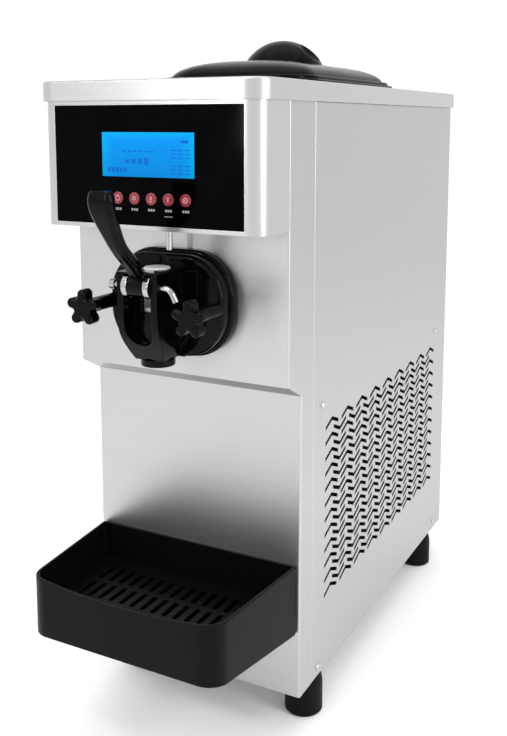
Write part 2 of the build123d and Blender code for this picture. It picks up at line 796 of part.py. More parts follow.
with BuildPart() as draw_lever:
    for forward, up, lean, section_width, section_depth in grip_sections:
        section_plane = Plane(
            origin=(0, front_y - forward, base_z + up),
            x_dir=(1, 0, 0),
            z_dir=(0, -cos(radians(lean)), sin(radians(lean))),
        )
        with BuildSketch(section_plane):
            RectangleRounded(section_width, section_depth, 0.45 * section_depth)
    loft()
    with BuildSketch(facing_right(-hub_half)):
        with Locations((pivot_y, pivot_z)):
            Circle(hub_radius)
        Polygon(
            (pivot_y, pivot_z),
            (boss_front_y, pivot_z),
            (boss_front_y, boss_top_z),
            (pivot_y + 2, boss_top_z),
        )
    extrude(amount=2 * hub_half)
    # lip: a thin plate over the pivot rings, flush with the front of the boss
    with BuildSketch(facing_right(-lip_half)):
        with Locations(((boss_front_y + pivot_y) / 2, boss_top_z - lip_thickness / 2)):
            Rectangle(pivot_y - boss_front_y + 1, lip_thickness)
    extrude(amount=2 * lip_half)
    # finger: a bar from the hub down and back into the piston's cross slot
    finger_plane = Plane(
        origin=(-finger_half, pivot_y, pivot_z),
        x_dir=(0, cos(radians(finger_angle)), -sin(radians(finger_angle))),
        z_dir=(1, 0, 0),
    )
    with BuildSketch(finger_plane):
        finger_length = -finger_reach / cos(radians(finger_angle))
        with Locations((finger_length / 2, 0)):
            Rectangle(finger_length, finger_thickness)
        with Locations((finger_length, 0)):
            Circle(finger_height / 2)
    extrude(amount=2 * finger_half)
    with BuildSketch(facing_right(-hub_half - 1)):
        with Locations((pivot_y, pivot_z)):
            Circle(pin_radius + running)
    extrude(amount=2 * hub_half + 2, mode=Mode.SUBTRACT)
save(draw_lever, "draw_lever")

# Pivot rings: two bright rings that centre the lever in its slot.
ring_radius = 11.2
with BuildPart() as pivot_rings:
    for ring_x in (-slot_half + gap, hub_half + gap):
        with BuildSketch(facing_right(ring_x)):
            with Locations((pivot_y, pivot_z)):
                Circle(ring_radius)
                Circle(pin_radius + running, mode=Mode.SUBTRACT)
        extrude(amount=slot_half - hub_half - 2 * gap)
    ring_rims = pivot_rings.edges().filter_by(GeomType.CIRCLE).filter_by(
        lambda edge: edge.radius > ring_radius - 1
    )
    fillet(ring_rims, 1.0)
save(pivot_rings, "pivot_rings")

# Pivot pin: a steel rod with a bent pull end on the right and a button head on the left.
pin_left_x = -32.0
pin_bend_x = 32.0
pin_end_x = 38.5
pin_end_z = pivot_z - 12.0
with BuildPart() as pivot_pin:
    with BuildLine() as pin_path:
        FilletPolyline(
            (pin_left_x, pivot_y, pivot_z),
            (pin_bend_x, pivot_y, pivot_z),
            (pin_end_x, pivot_y, pin_end_z),
            radius=3 * pin_radius,
        )
    with BuildSketch(facing_right(pin_left_x)):
        with Locations((pivot_y, pivot_z)):
            Circle(pin_radius)
    sweep(path=pin_path.line)
    with BuildSketch(facing_right(pin_left_x)):
        with Locations((pivot_y, pivot_z)):
            Circle(pin_radius + 1.8)
    extrude(amount=5)
save(pivot_pin, "pivot_pin")

# Door studs and the two star knobs that hold the door.
knob_back_y = front_y - 94.0
knob_front_y = front_y - 108.0
knob_lobes = 5
knob_core_radius = 10.0
knob_lobe_ring = 12.6
knob_lobe_radius = 5.0
knob_neck_radius = 7.0
knob_rounding = 2.8
stud_tip_y = knob_back_y - 6
stud_root_y = mid_y + sheet + 6

with BuildPart() as door_studs:
    with BuildSketch(facing_front(stud_root_y)):
        with Locations((-stud_x, door_z), (stud_x, door_z)):
            Circle(stud_radius)
    extrude(amount=stud_root_y - stud_tip_y)
save(door_studs, "door_studs")

for name, side in (("knob_left", -1), ("knob_right", 1)):
    with BuildPart() as knob:
        with BuildSketch(facing_front(knob_back_y)):
            with Locations((side * stud_x, door_z)):
                Circle(knob_core_radius)
                with PolarLocations(knob_lobe_ring, knob_lobes, start_angle=90):
                    Circle(knob_lobe_radius)
                with PolarLocations(knob_lobe_ring / 2, knob_lobes, start_angle=90):
                    Rectangle(knob_lobe_ring, 2 * knob_lobe_radius)
        extrude(amount=knob_back_y - knob_front_y)
        fillet(knob.faces().sort_by(Axis.Y)[0].edges(), knob_rounding)
        fillet(knob.faces().sort_by(Axis.Y)[-1].edges(), knob_rounding)
        with BuildSketch(facing_front(door_front_y - gap)):
            with Locations((side * stud_x, door_z)):
                Circle(knob_neck_radius)
        extrude(amount=door_front_y - gap - knob_back_y)
        with BuildSketch(facing_front(door_front_y + 1)):
            with Locations((side * stud_x, door_z)):
                Circle(stud_radius + running)
        extrude(amount=door_front_y + 1 + gap - stud_tip_y, mode=Mode.SUBTRACT)
    save(knob, name)

# ---------------------------------------------------------------- hopper and lid
hopper_floor_z = base_z + 486.0
hopper_sheet = 1.2
hopper_flange = 6.0
feed_y = hopper_y - 100.0
feed_radius = 9.0
feed_wall = 2.0
well_foot_radius = 4.0

with BuildPart() as hopper:
    with BuildSketch(Plane.XY.offset(cap_top_z)):
        with Locations((0, hopper_y)):
            RectangleRounded(
                well_width + 2 * hopper_flange, well_length + 2 * hopper_flange, well_corner + hopper_flange
            )
    extrude(amount=hopper_sheet)
    with BuildSketch(Plane.XY.offset(hopper_floor_z)):
        with Locations((0, hopper_y)):
            RectangleRounded(well_width, well_length, well_corner)
    extrude(amount=cap_top_z - hopper_floor_z)
    fillet(hopper.faces().sort_by(Axis.Z)[0].edges(), well_foot_radius)
    with BuildSketch(Plane.XY.offset(hopper_floor_z + hopper_sheet)):
        with Locations((0, hopper_y)):
            RectangleRounded(
                well_width - 2 * hopper_sheet, well_length - 2 * hopper_sheet, well_corner - hopper_sheet
            )
    well_cut = extrude(amount=cap_top_z - hopper_floor_z + 5, mode=Mode.PRIVATE)
    well_floor = well_cut.faces().sort_by(Axis.Z)[0].edges()
    add(well_cut.fillet(well_foot_radius - 1, well_floor), mode=Mode.SUBTRACT)
    with BuildSketch(Plane.XY.offset(hopper_floor_z - 1)):
        with Locations((0, feed_y)):
            Circle(feed_radius + running)
    extrude(amount=5, mode=Mode.SUBTRACT)
save(hopper, "hopper")

# Feed tube: carries the mix from the hopper's floor down into the barrel.
barrel_inner_radius = 43.0
barrel_radius = 46.0
jacket_radius = 54.0
with BuildPart() as feed_tube:
    with BuildSketch(Plane.XY.offset(door_z + barrel_radius - 1.0)):
        with Locations((0, feed_y)):
            Circle(feed_radius)
            Circle(feed_radius - feed_wall, mode=Mode.SUBTRACT)
    extrude(amount=hopper_floor_z + 3 - door_z - barrel_radius)
save(feed_tube, "feed_tube")

# Air tube: a loose plastic tube that stands in the feed hole and meters air with the mix.
air_tube_length = 110.0
air_bore_radius = 3.0
air_collar = 4.0
with BuildPart() as air_tube:
    with BuildSketch(Plane.XY.offset(hopper_floor_z - 16)):
        with Locations((0, feed_y)):
            Circle(feed_radius - feed_wall - gap)
            Circle(air_bore_radius, mode=Mode.SUBTRACT)
    extrude(amount=air_tube_length)
    with BuildSketch(Plane.XY.offset(hopper_floor_z + air_collar)):
        with Locations((0, feed_y)):
            Circle(feed_radius + 3)
            Circle(air_bore_radius, mode=Mode.SUBTRACT)
    extrude(amount=air_collar)
save(air_tube, "air_tube")

# Lid: stepped rim, low crown and a domed grip with a scoop on each side.
lid_foot_z = cap_top_z + gap
grip_y = hopper_y - 5.0
grip_radius = 48.0
grip_root_z = cap_top_z + 22.0
lid_top_z = cap_top_z + 55.0
crown_z = cap_top_z + 28.0
lid_y = hopper_y - 6.0
scoop_x = 48.0
scoop_z = crown_z + 28.5
scoop_radius = 27.0
lid_lip = 4.0
lid_rim = 32.0
lid_hollow = 13.0
lid_steps = ((0, 5.0, 2.0), (5, 9.0, 2.0))  # inset, height and rounding of the rim's two steps
crown_sections = ((9, 7.0), (13, 13.5), (22, 19.5), (36, 24.0), (54, 27.0), (72, 28.0))  # inset, height

with BuildPart() as hopper_lid:
    for inset, height, rounding in lid_steps:
        with BuildSketch(Plane.XY.offset(lid_foot_z)):
            with Locations((0, lid_y)):
                RectangleRounded(
                    lid_width - 2 * inset, lid_length - 2 * inset, lid_corner - inset * 0.4
                )
        extrude(amount=height)
        fillet(hopper_lid.faces().sort_by(Axis.Z)[-1].edges(), rounding)
    for inset, height in crown_sections:
        with BuildSketch(Plane.XY.offset(cap_top_z + height)):
            with Locations((0, lid_y)):
                RectangleRounded(
                    lid_width - 2 * inset, lid_length - 2 * inset, lid_corner - inset * 0.3
                )
    loft()
    with BuildSketch(Plane(origin=(0, grip_y, 0), x_dir=(1, 0, 0), z_dir=(0, -1, 0))):
        with BuildLine():
            Line((0, grip_root_z), (grip_radius, grip_root_z))
            ThreePointArc(*dome(grip_radius, grip_root_z, lid_top_z))
            Line((0, lid_top_z), (0, grip_root_z))
        make_face()
    revolve(axis=Axis((0, grip_y, 0), (0, 0, 1)))
    for side in (-1, 1):
        with Locations((side * scoop_x, grip_y, scoop_z)):
            Sphere(scoop_radius, rotation=(0, 0, 90), mode=Mode.SUBTRACT)
    with BuildSketch(Plane.XY.offset(lid_foot_z - 1)):
        with Locations((0, lid_y)):
            RectangleRounded(lid_width - 2 * lid_lip, lid_length - 2 * lid_lip, lid_corner - lid_lip)
    extrude(amount=1 + hopper_sheet, mode=Mode.SUBTRACT)
    with BuildSketch(Plane.XY.offset(lid_foot_z - 1)):
        with Locations((0, lid_y)):
            RectangleRounded(lid_width - 2 * lid_rim, lid_length - 2 * lid_rim, lid_corner - 24)
    extrude(amount=lid_hollow, mode=Mode.SUBTRACT)
save(hopper_lid, "hopper_lid")

# ---------------------------------------------------------------- drip tray
tray_z = tray_top_z - tray_height
tray_back_y = front_y - gap
tray_front_corner = 21.0
tray_back_corner = 4.0
tray_rise = 14.0  # the underside climbs this much towards the front
rim_dip = 6.0
rim_dip_half = 86.0
grid_drop = 38.0
grid_thickness = 3.0


def tray_outline(inset):
    back = tray_back_width / 2 - inset
    front = tray_front_width / 2 - inset
    with BuildSketch(Plane.XY) as outline:
        Polygon(
            (-back, tray_back_y - inset),
            (-front, front_y - tray_depth + inset),
            (front, front_y - tray_depth + inset),
            (back, tray_back_y - inset),
        )
        fillet(outline.vertices().group_by(Axis.Y)[0], tray_front_corner - inset)
        fillet(outline.vertices().group_by(Axis.Y)[-1], tray_back_corner - 0.4 * inset)
    return outline.sketch


def tray_underside(height):
    """The tray's sloping underside, raised by height."""
    return Plane(
        origin=(0, tray_back_y, tray_z + height), x_dir=(1, 0, 0), z_dir=(0, tray_rise, tray_depth)
    )


with BuildPart() as tray_sump:
    with BuildSketch(Plane.XY.offset(tray_z)):
        add(tray_outline(2 * tray_wall))
    extrude(amount=tray_height)
    split(bisect_by=tray_underside(tray_wall), keep=Keep.TOP)

with BuildPart() as drip_tray:
    with BuildSketch(Plane.XY.offset(tray_z)):
        add(tray_outline(0))
    extrude(amount=tray_height)
    split(bisect_by=tray_underside(0), keep=Keep.TOP)
    fillet(drip_tray.faces().sort_by(Axis.Z)[0].edges(), 1.5)
    fillet(drip_tray.faces().sort_by(Axis.Z)[-1].edges(), 1)
    with BuildSketch(Plane.XY.offset(tray_top_z - grid_drop - grid_thickness)):
        add(tray_outline(tray_wall))
    extrude(amount=grid_drop + grid_thickness + 1, mode=Mode.SUBTRACT)
    add(tray_sump.part, mode=Mode.SUBTRACT)
    # the front rim is scooped lower in the middle
    with BuildSketch(facing_front(front_y - tray_depth - 1)):
        with BuildLine():
            ThreePointArc(
                (-rim_dip_half, tray_top_z), (0, tray_top_z - rim_dip), (rim_dip_half, tray_top_z)
            )
            Polyline(
                (rim_dip_half, tray_top_z),
                (rim_dip_half, tray_top_z + 1),
                (-rim_dip_half, tray_top_z + 1),
                (-rim_dip_half, tray_top_z),
            )
        make_face()
    extrude(amount=-(tray_wall + 4), mode=Mode.SUBTRACT)
save(drip_tray, "drip_tray")

# Drip grid: rests on the ledge inside the tray; rows of slots and two finger holes.
slot_columns = 15
slot_rows = 3
slot_pitch = 12.5
slot_row_pitch = 34.0
slot_length = 28.0
slot_width = 5.5
with BuildPart() as drip_grid:
    with BuildSketch(Plane.XY.offset(tray_top_z - grid_drop - grid_thickness + 0.1)):
        add(tray_outline(tray_wall + 2 * gap))
        with Locations((0, front_y - tray_depth / 2)):
            with GridLocations(slot_pitch, slot_row_pitch, slot_columns, slot_rows):
                SlotOverall(slot_length, slot_width, rotation=90, mode=Mode.SUBTRACT)
    extrude(amount=grid_thickness)
save(drip_grid, "drip_grid")

# Tray bracket: a steel ledge screwed to the front panel, which the tray slides on to.
bracket_width = 150.0
bracket_depth = 92.0
bracket_sheet = 2.0
bracket_drop = 24.0
with BuildPart() as tray_bracket:
    with BuildSketch(facing_right(-bracket_width / 2)):
        Polygon(
            (front_y, tray_z - gap),
            (front_y - bracket_depth, tray_z - gap),
            (front_y - bracket_depth, tray_z - gap - bracket_sheet),
            (front_y - bracket_sheet, tray_z - gap - bracket_sheet),
            (front_y - bracket_sheet, tray_z - bracket_drop),
            (front_y, tray_z - bracket_drop),
        )
    extrude(amount=bracket_width)
save(tray_bracket, "tray_bracket")

# ---------------------------------------------------------------- freezing barrel and its drive
barrel_front_y = mid_y + sheet + 0.1
barrel_back_y = front_y + 232.0
barrel_end = 4.0
beater_shaft_radius = 9.0
mouth_thickness = 5.0

with BuildPart() as freezing_barrel:
    with BuildSketch(facing_front(barrel_back_y)):
        with Locations((0, door_z)):
            Circle(barrel_radius)
    extrude(amount=barrel_back_y - barrel_front_y)
    with BuildSketch(facing_front(barrel_front_y + mouth_thickness)):
        with Locations((0, door_z)):
            RectangleRounded(door_width - 4, door_height - 8, door_corner - 1)
    extrude(amount=mouth_thickness)
    with BuildSketch(facing_front(barrel_back_y - barrel_end)):
        with Locations((0, door_z)):
            Circle(barrel_inner_radius)
    extrude(amount=depth, mode=Mode.SUBTRACT)
    with BuildSketch(facing_front(barrel_back_y + 1)):
        with Locations((0, door_z)):
            Circle(beater_shaft_radius + running)
    extrude(amount=2 * barrel_end, mode=Mode.SUBTRACT)
    with BuildSketch(Plane.XY.offset(door_z)):
        with Locations((0, feed_y)):
            Circle(feed_radius - feed_wall)
    extrude(amount=60, mode=Mode.SUBTRACT)
    with BuildSketch(Plane.XY.offset(door_z + barrel_radius - 1.4)):
        with Locations((0, feed_y)):
            Circle(feed_radius + gap)
    extrude(amount=20, mode=Mode.SUBTRACT)
    with BuildSketch(facing_front(barrel_front_y + 6)):
        with Locations((-stud_x, door_z), (stud_x, door_z)):
            Circle(stud_radius + running)
    extrude(amount=8, mode=Mode.SUBTRACT)
save(freezing_barrel, "freezing_barrel")

# Evaporator jacket round the barrel, with its two copper stubs.
jacket_front_y = front_y - 14.0
jacket_back_y = front_y + 214.0
stub_y = jacket_back_y - 8.0
stub_x = 30.0
stub_radius = 4.0
stub_foot_z = door_z - 64.0
with BuildPart() as evaporator_jacket:
    with BuildSketch(facing_front(jacket_back_y)):
        with Locations((0, door_z)):
            Circle(jacket_radius)
    extrude(amount=jacket_back_y - jacket_front_y)
    with BuildSketch(Plane.XY.offset(stub_foot_z)):
        with Locations((-stub_x, stub_y), (stub_x, stub_y)):
            Circle(stub_radius)
    extrude(amount=30)
    with BuildSketch(facing_front(jacket_back_y + 1)):
        with Locations((0, door_z)):
            Circle(barrel_radius + gap)
    extrude(amount=depth, mode=Mode.SUBTRACT)
    with BuildSketch(Plane.XY.offset(door_z)):
        with Locations((0, feed_y)):
            Circle(feed_radius + 2)
    extrude(amount=60, mode=Mode.SUBTRACT)
save(evaporator_jacket, "evaporator_jacket")

# Foam block that insulates the jacket.
foam_bottom_z = base_z + 341.0
foam_top_z = base_z + 470.0
foam_front_y = front_y - 12.0
foam_back_y = front_y + 198.0
foam_width = 176.0
with BuildPart() as foam_block:
    with BuildSketch(Plane.XY.offset(foam_bottom_z)):
        with Locations((0, (foam_front_y + foam_back_y) / 2)):
            Rectangle(foam_width, foam_back_y - foam_front_y)
    extrude(amount=foam_top_z - foam_bottom_z)
    with BuildSketch(facing_front(foam_back_y + 1)):
        with Locations((0, door_z)):
            Circle(jacket_radius + gap)
    extrude(amount=foam_back_y - foam_front_y + 2, mode=Mode.SUBTRACT)
    with BuildSketch(Plane.XY.offset(door_z)):
        with Locations((0, feed_y)):
            Circle(feed_radius + 1)
    extrude(amount=90, mode=Mode.SUBTRACT)
save(foam_block, "foam_block")

# Deck: the shelf that carries the barrel and gearbox above the drive motor.
deck_z = base_z + 337.0
deck_sheet = 2.5
deck_width = 192.0
deck_length = 268.0
belt_notch = (120.0, 60.0)
with BuildPart() as deck:
    with BuildSketch(Plane.XY.offset(deck_z)):
        with Locations((0, front_y + 190)):
            Rectangle(deck_width, deck_length)
        with Locations((0, drive_y - 2)):
            Rectangle(*belt_notch, mode=Mode.SUBTRACT)
        with Locations((-stub_x, stub_y), (stub_x, stub_y)):
            Circle(stub_radius + 1.5, mode=Mode.SUBTRACT)
    extrude(amount=deck_sheet)
save(deck, "deck")

# Beater: rear hub and shaft, three rods, a front ring, and the plastic scrapers on two rods.
beater_front_y = front_y - 8.0
beater_back_y = front_y + 222.0
beater_shaft_y = front_y + 258.0
beater_rods = 3
rod_ring_radius = 33.0
beater_rod_radius = 4.0
beater_disc_radius = 39.0
beater_ring_radii = (38.0, 27.0)
beater_plate = 6.0
blade_width = 11.0
blade_thickness = 5.0
with BuildPart() as beater:
    with BuildSketch(facing_front(beater_shaft_y)):
        with Locations((0, door_z)):
            Circle(beater_shaft_radius)
    extrude(amount=beater_shaft_y - beater_back_y)
    with BuildSketch(facing_front(beater_back_y)):
        with Locations((0, door_z)):
            Circle(beater_disc_radius)
    extrude(amount=beater_plate)
    with BuildSketch(facing_front(beater_back_y - beater_plate)):
        with Locations((0, door_z)):
            with PolarLocations(rod_ring_radius, beater_rods, start_angle=90):
                Circle(beater_rod_radius)
    extrude(amount=beater_back_y - beater_front_y - 2 * beater_plate)
    with BuildSketch(facing_front(beater_front_y + beater_plate)):
        with Locations((0, door_z)):
            Circle(beater_ring_radii[0])
            Circle(beater_ring_radii[1], mode=Mode.SUBTRACT)
    extrude(amount=beater_plate)
save(beater, "beater")

with BuildPart() as scraper_blades:
    with BuildSketch(facing_front(beater_back_y - beater_plate - 2)):
        with Locations((0, door_z)):
            with PolarLocations(rod_ring_radius + 3.5, beater_rods, start_angle=90):
                Rectangle(blade_width, blade_thickness)
            with PolarLocations(rod_ring_radius, beater_rods, start_angle=90):
                Circle(beater_rod_radius + gap, mode=Mode.SUBTRACT)
    extrude(amount=beater_back_y - beater_front_y - 3 * beater_plate)
save(scraper_blades, "scraper_blades")

# Gearbox with its front boss and the rear input shaft that carries the big pulley.
gearbox_front_y = front_y + 262.0
gearbox_back_y = front_y + 316.0
gearbox_width = 92.0
gearbox_height = 104.0
gearbox_shaft_radius = 7.0
gearbox_nose = 12.0
gearbox_foot = (130.0, 40.0)
with BuildPart() as gearbox:
    with BuildSketch(facing_front(gearbox_back_y)):
        with Locations((0, door_z)):
            RectangleRounded(gearbox_width, gearbox_height, 10)
    extrude(amount=gearbox_back_y - gearbox_front_y)
    with BuildSketch(facing_front(gearbox_front_y)):
        with Locations((0, door_z)):
            Circle(22)
    extrude(amount=gearbox_nose)
    with BuildSketch(facing_front(gearbox_back_y + 1)):
        with Locations((0, door_z)):
            Circle(gearbox_shaft_radius + running)
    extrude(amount=14, mode=Mode.SUBTRACT)
    with BuildSketch(facing_front(gearbox_front_y + 1)):
        with Locations((0, door_z)):
            Circle(beater_shaft_radius + running)
    extrude(amount=30, mode=Mode.SUBTRACT)
    with BuildSketch(Plane.XY.offset(deck_z + deck_sheet)):
        with Locations((0, (gearbox_front_y + gearbox_back_y) / 2)):
            Rectangle(*gearbox_foot)
    extrude(amount=door_z - gearbox_height / 2 + 4 - deck_z - deck_sheet)
save(gearbox, "gearbox")

# Drive pulleys and belt.
belt_width = 10.0
big_radius = 42.0
small_radius = 21.0
flange = 3.0
cheek = 2.0
belt_thickness = 5.0
motor_shaft_radius = 6.0


def pulley(name, z, radius, shaft_radius, shaft_from_y):
    half = belt_width / 2 + 0.5
    with BuildPart() as wheel:
        with BuildSketch(facing_front(drive_y + half)):
            with Locations((0, z)):
                Circle(radius)
        extrude(amount=2 * half)
        for cheek_y in (drive_y + half + cheek, drive_y - half):
            with BuildSketch(facing_front(cheek_y)):
                with Locations((0, z)):
                    Circle(radius + flange)
            extrude(amount=cheek)
        with BuildSketch(facing_front(drive_y + half + 6)):
            with Locations((0, z)):
                Circle(shaft_radius)
        extrude(amount=drive_y + half + 6 - shaft_from_y)
    save(wheel, name)


pulley("gearbox_pulley", door_z, big_radius, gearbox_shaft_radius, gearbox_back_y - 10)
motor_back_y = front_y + 322.0
pulley("motor_pulley", motor_z, small_radius, motor_shaft_radius, motor_back_y - 20)

with BuildPart() as drive_belt:
    with BuildSketch(facing_front(drive_y + belt_width / 2)):
        with Locations((0, door_z)):
            Circle(big_radius + gap + belt_thickness)
        with Locations((0, motor_z)):
            Circle(small_radius + gap + belt_thickness)
        make_hull()
    extrude(amount=belt_width)
    with BuildSketch(facing_front(drive_y + belt_width / 2 + 1)):
        with Locations((0, door_z)):
            Circle(big_radius + gap)
        with Locations((0, motor_z)):
            Circle(small_radius + gap)
        make_hull()
    extrude(amount=belt_width + 2, mode=Mode.SUBTRACT)
save(drive_belt, "drive_belt")

# Drive motor: finned barrel hung below the deck by its foot.
motor_radius = 40.0
motor_front_y = front_y + 200.0
motor_rounding = 4.0
motor_fins = 24
motor_fin = (5.0, 2.0)
motor_end = 12.0
motor_foot = 70.0
with BuildPart() as drive_motor:
    with BuildSketch(facing_front(motor_back_y)):
        with Locations((0, motor_z)):
            Circle(motor_radius)
    extrude(amount=motor_back_y - motor_front_y)
    fillet(drive_motor.edges(), motor_rounding)
    with BuildSketch(facing_front(motor_back_y - motor_end)):
        with Locations((0, motor_z)):
            with PolarLocations(motor_radius, motor_fins):
                Rectangle(*motor_fin)
    extrude(amount=motor_back_y - motor_front_y - 2 * motor_end)
    with BuildSketch(Plane.XY.offset(motor_z + 30)):
        with Locations((0, (motor_front_y + motor_back_y) / 2)):
            Rectangle(motor_foot, motor_foot)
    extrude(amount=deck_z - gap - motor_z - 30)
    with BuildSketch(facing_front(motor_back_y + 1)):
        with Locations((0, motor_z)):
            Circle(motor_shaft_radius + running)
    extrude(amount=24, mode=Mode.SUBTRACT)
save(drive_motor, "drive_motor")

# ---------------------------------------------------------------- refrigeration
# Compressor: welded can on a foot plate, standing on four rubber mounts.
compressor_y = front_y + 246.0
can_radius = 60.0
can_z = base_z + 22.0
can_shoulder_z = can_z + 120.0
can_top_z = can_z + 150.0
can_seam_z = can_z + 75.0
can_seam = 3.0
plate_size = (150.0, 138.0)
mount_places = [(x, compressor_y + y) for x in (-62, 62) for y in (-56, 56)]
with BuildPart() as compressor:
    with BuildSketch(Plane(origin=(0, compressor_y, 0), x_dir=(1, 0, 0), z_dir=(0, -1, 0))):
        with BuildLine():
            Polyline(
                (0, can_top_z),
                (0, can_z),
                (can_radius - 8, can_z),
                (can_radius, can_z + 8),
                (can_radius, can_seam_z - 5),
                (can_radius + can_seam, can_seam_z - can_seam),
                (can_radius + can_seam, can_seam_z + can_seam),
                (can_radius, can_seam_z + 5),
                (can_radius, can_shoulder_z),
            )
            ThreePointArc(*dome(can_radius, can_shoulder_z, can_top_z))
        make_face()
    revolve(axis=Axis((0, compressor_y, 0), (0, 0, 1)))
    with BuildSketch(Plane.XY.offset(can_z - 2)):
        with Locations((0, compressor_y)):
            RectangleRounded(*plate_size, 14)
        with Locations(*mount_places):
            Circle(5, mode=Mode.SUBTRACT)
    extrude(amount=3)
save(compressor, "compressor")

with BuildPart() as compressor_mounts:
    with BuildSketch(Plane.XY.offset(base_z + pan_sheet)):
        with Locations(*mount_places):
            Circle(10)
    extrude(amount=can_z - 2 - base_z - pan_sheet)
    with BuildSketch(Plane.XY.offset(can_z - 2)):
        with Locations(*mount_places):
            Circle(4.6)
    extrude(amount=6)
save(compressor_mounts, "compressor_mounts")

# Condenser: aluminium fins on copper tubes, at the front of the machine space.
condenser_y = front_y + 84.0
condenser_width = 168.0
condenser_height = 196.0
condenser_depth = 34.0
fin_pitch = 6.0
fin_count = 27
fin_thickness = 0.8
end_plate = 2.0
tube_radius = 4.0
tube_zs = [base_z + 32 + 30 * i for i in range(6)]
with BuildPart() as condenser:
    with BuildSketch(facing_right(-condenser_width / 2)):
        with Locations(*[(condenser_y + dy, z) for dy in (-9, 9) for z in tube_zs]):
            Circle(tube_radius)
    extrude(amount=condenser_width)
    for i in range(fin_count):
        with BuildSketch(facing_right((i - (fin_count - 1) / 2) * fin_pitch - fin_thickness / 2)):
            with Locations((condenser_y, base_z + 22 + condenser_height / 2)):
                Rectangle(condenser_depth, condenser_height - 30)
        extrude(amount=fin_thickness)
    for side in (-1, 1):
        with BuildSketch(facing_right(side * condenser_width / 2 - end_plate / 2)):
            with Locations((condenser_y, base_z + pan_sheet + condenser_height / 2)):
                Rectangle(condenser_depth + 4, condenser_height)
        extrude(amount=end_plate)
save(condenser, "condenser")

# Fan: shroud plate, motor with its bracket, and five blades on a hub.
shroud_y = front_y + 108.0
fan_radius = 72.0
shroud_sheet = 2.0
shroud_depth = 18.0
shroud_size = (176.0, 194.0)
shroud_hole_radius = fan_radius + 4.0
with BuildPart() as fan_shroud:
    with BuildSketch(facing_front(shroud_y + shroud_sheet)):
        with Locations((0, base_z + pan_sheet + shroud_size[1] / 2)):
            Rectangle(*shroud_size)
        with Locations((0, fan_z)):
            Circle(shroud_hole_radius, mode=Mode.SUBTRACT)
    extrude(amount=shroud_sheet)
    with BuildSketch(facing_front(shroud_y + shroud_sheet + shroud_depth)):
        with Locations((0, fan_z)):
            Circle(shroud_hole_radius + shroud_sheet)
            Circle(shroud_hole_radius, mode=Mode.SUBTRACT)
    extrude(amount=shroud_depth)
save(fan_shroud, "fan_shroud")

fan_y = shroud_y + 12.0
fan_hub_radius = 16.0
fan_hub_length = 18.0
fan_blade_count = 5
fan_blade = (50.0, 34.0, 2.0)
fan_blade_pitch = 24.0
fan_shaft_radius = 3.0
with BuildPart(Plane(origin=(0, fan_y, fan_z), x_dir=(1, 0, 0), z_dir=(0, -1, 0))) as fan_blades:
    Cylinder(fan_hub_radius, fan_hub_length)
    with PolarLocations(39, fan_blade_count):
        Box(*fan_blade, rotation=(fan_blade_pitch, 0, 0))
    Cylinder(fan_shaft_radius + running, 40, mode=Mode.SUBTRACT)
save(fan_blades, "fan_blades")

# Fan motor: a round motor on a bridge whose two arms reach back to the shroud.
fan_motor_y = fan_y + 32.0
fan_motor_radius = 24.0
fan_motor_length = 34.0
bridge_y = fan_motor_y + 14.0
bridge_width = 14.0
arm_x = fan_radius + 12.0
arm_thickness = 4.0
with BuildPart() as fan_motor:
    with BuildSketch(facing_front(bridge_y + shroud_sheet)):
        with Locations((0, fan_z)):
            Circle(fan_motor_radius)
    extrude(amount=fan_motor_length)
    with BuildSketch(facing_front(fan_motor_y - 18)):
        with Locations((0, fan_z)):
            Circle(fan_shaft_radius)
    extrude(amount=22)
    with BuildSketch(facing_front(bridge_y + shroud_sheet)):
        with Locations((0, fan_z)):
            Rectangle(2 * arm_x + arm_thickness, bridge_width)
    extrude(amount=shroud_sheet)
    for side in (-1, 1):
        with BuildSketch(facing_front(bridge_y)):
            with Locations((side * arm_x, fan_z)):
                Rectangle(arm_thickness, bridge_width)
        extrude(amount=bridge_y - shroud_y - shroud_sheet - gap)
save(fan_motor, "fan_motor")

# Filter drier and the copper lines.
drier_x = -84.0
drier_y = front_y + 250.0
drier_z = base_z + 150.0
drier_radius = 11.0
drier_length = 90.0
with BuildPart() as filter_drier:
    with BuildSketch(Plane.XY.offset(drier_z)):
        with Locations((drier_x, drier_y)):
            Circle(drier_radius)
    extrude(amount=drier_length)
    fillet(filter_drier.edges(), 6)
save(filter_drier, "filter_drier")

line_radius = 3.0
line_bend = 11.0
line_top_z = deck_z - 14.0
suction_x = 84.0
suction_z = can_z + 90.0
condenser_line_x = drier_x - 9.0
condenser_line_z = base_z + 100.0
line_routes = [
    (  # suction line, jacket to compressor
        (stub_x, stub_y, stub_foot_z - gap),
        (stub_x, stub_y, line_top_z),
        (suction_x, stub_y, line_top_z),
        (suction_x, stub_y, suction_z),
        (suction_x, compressor_y, suction_z),
        (can_radius + gap + 1, compressor_y, suction_z),
    ),
    (  # liquid line, drier to jacket
        (drier_x, drier_y, drier_z + drier_length + gap),
        (drier_x, drier_y, line_top_z),
        (drier_x, stub_y, line_top_z),
        (-stub_x, stub_y, line_top_z),
        (-stub_x, stub_y, stub_foot_z - gap),
    ),
    (  # condenser line, condenser to drier
        (drier_x, drier_y, drier_z - gap),
        (drier_x, drier_y, condenser_line_z + 16),
        (condenser_line_x, drier_y - 30, condenser_line_z),
        (condenser_line_x, condenser_y + 40, condenser_line_z),
    ),
]
with BuildPart() as refrigerant_lines:
    for route_points in line_routes:
        with BuildLine() as route:
            FilletPolyline(*route_points, radius=line_bend)
        with BuildSketch(Plane(origin=route_points[0], z_dir=route.line % 0)):
            Circle(line_radius)
        sweep(path=route.line)
save(refrigerant_lines, "refrigerant_lines")

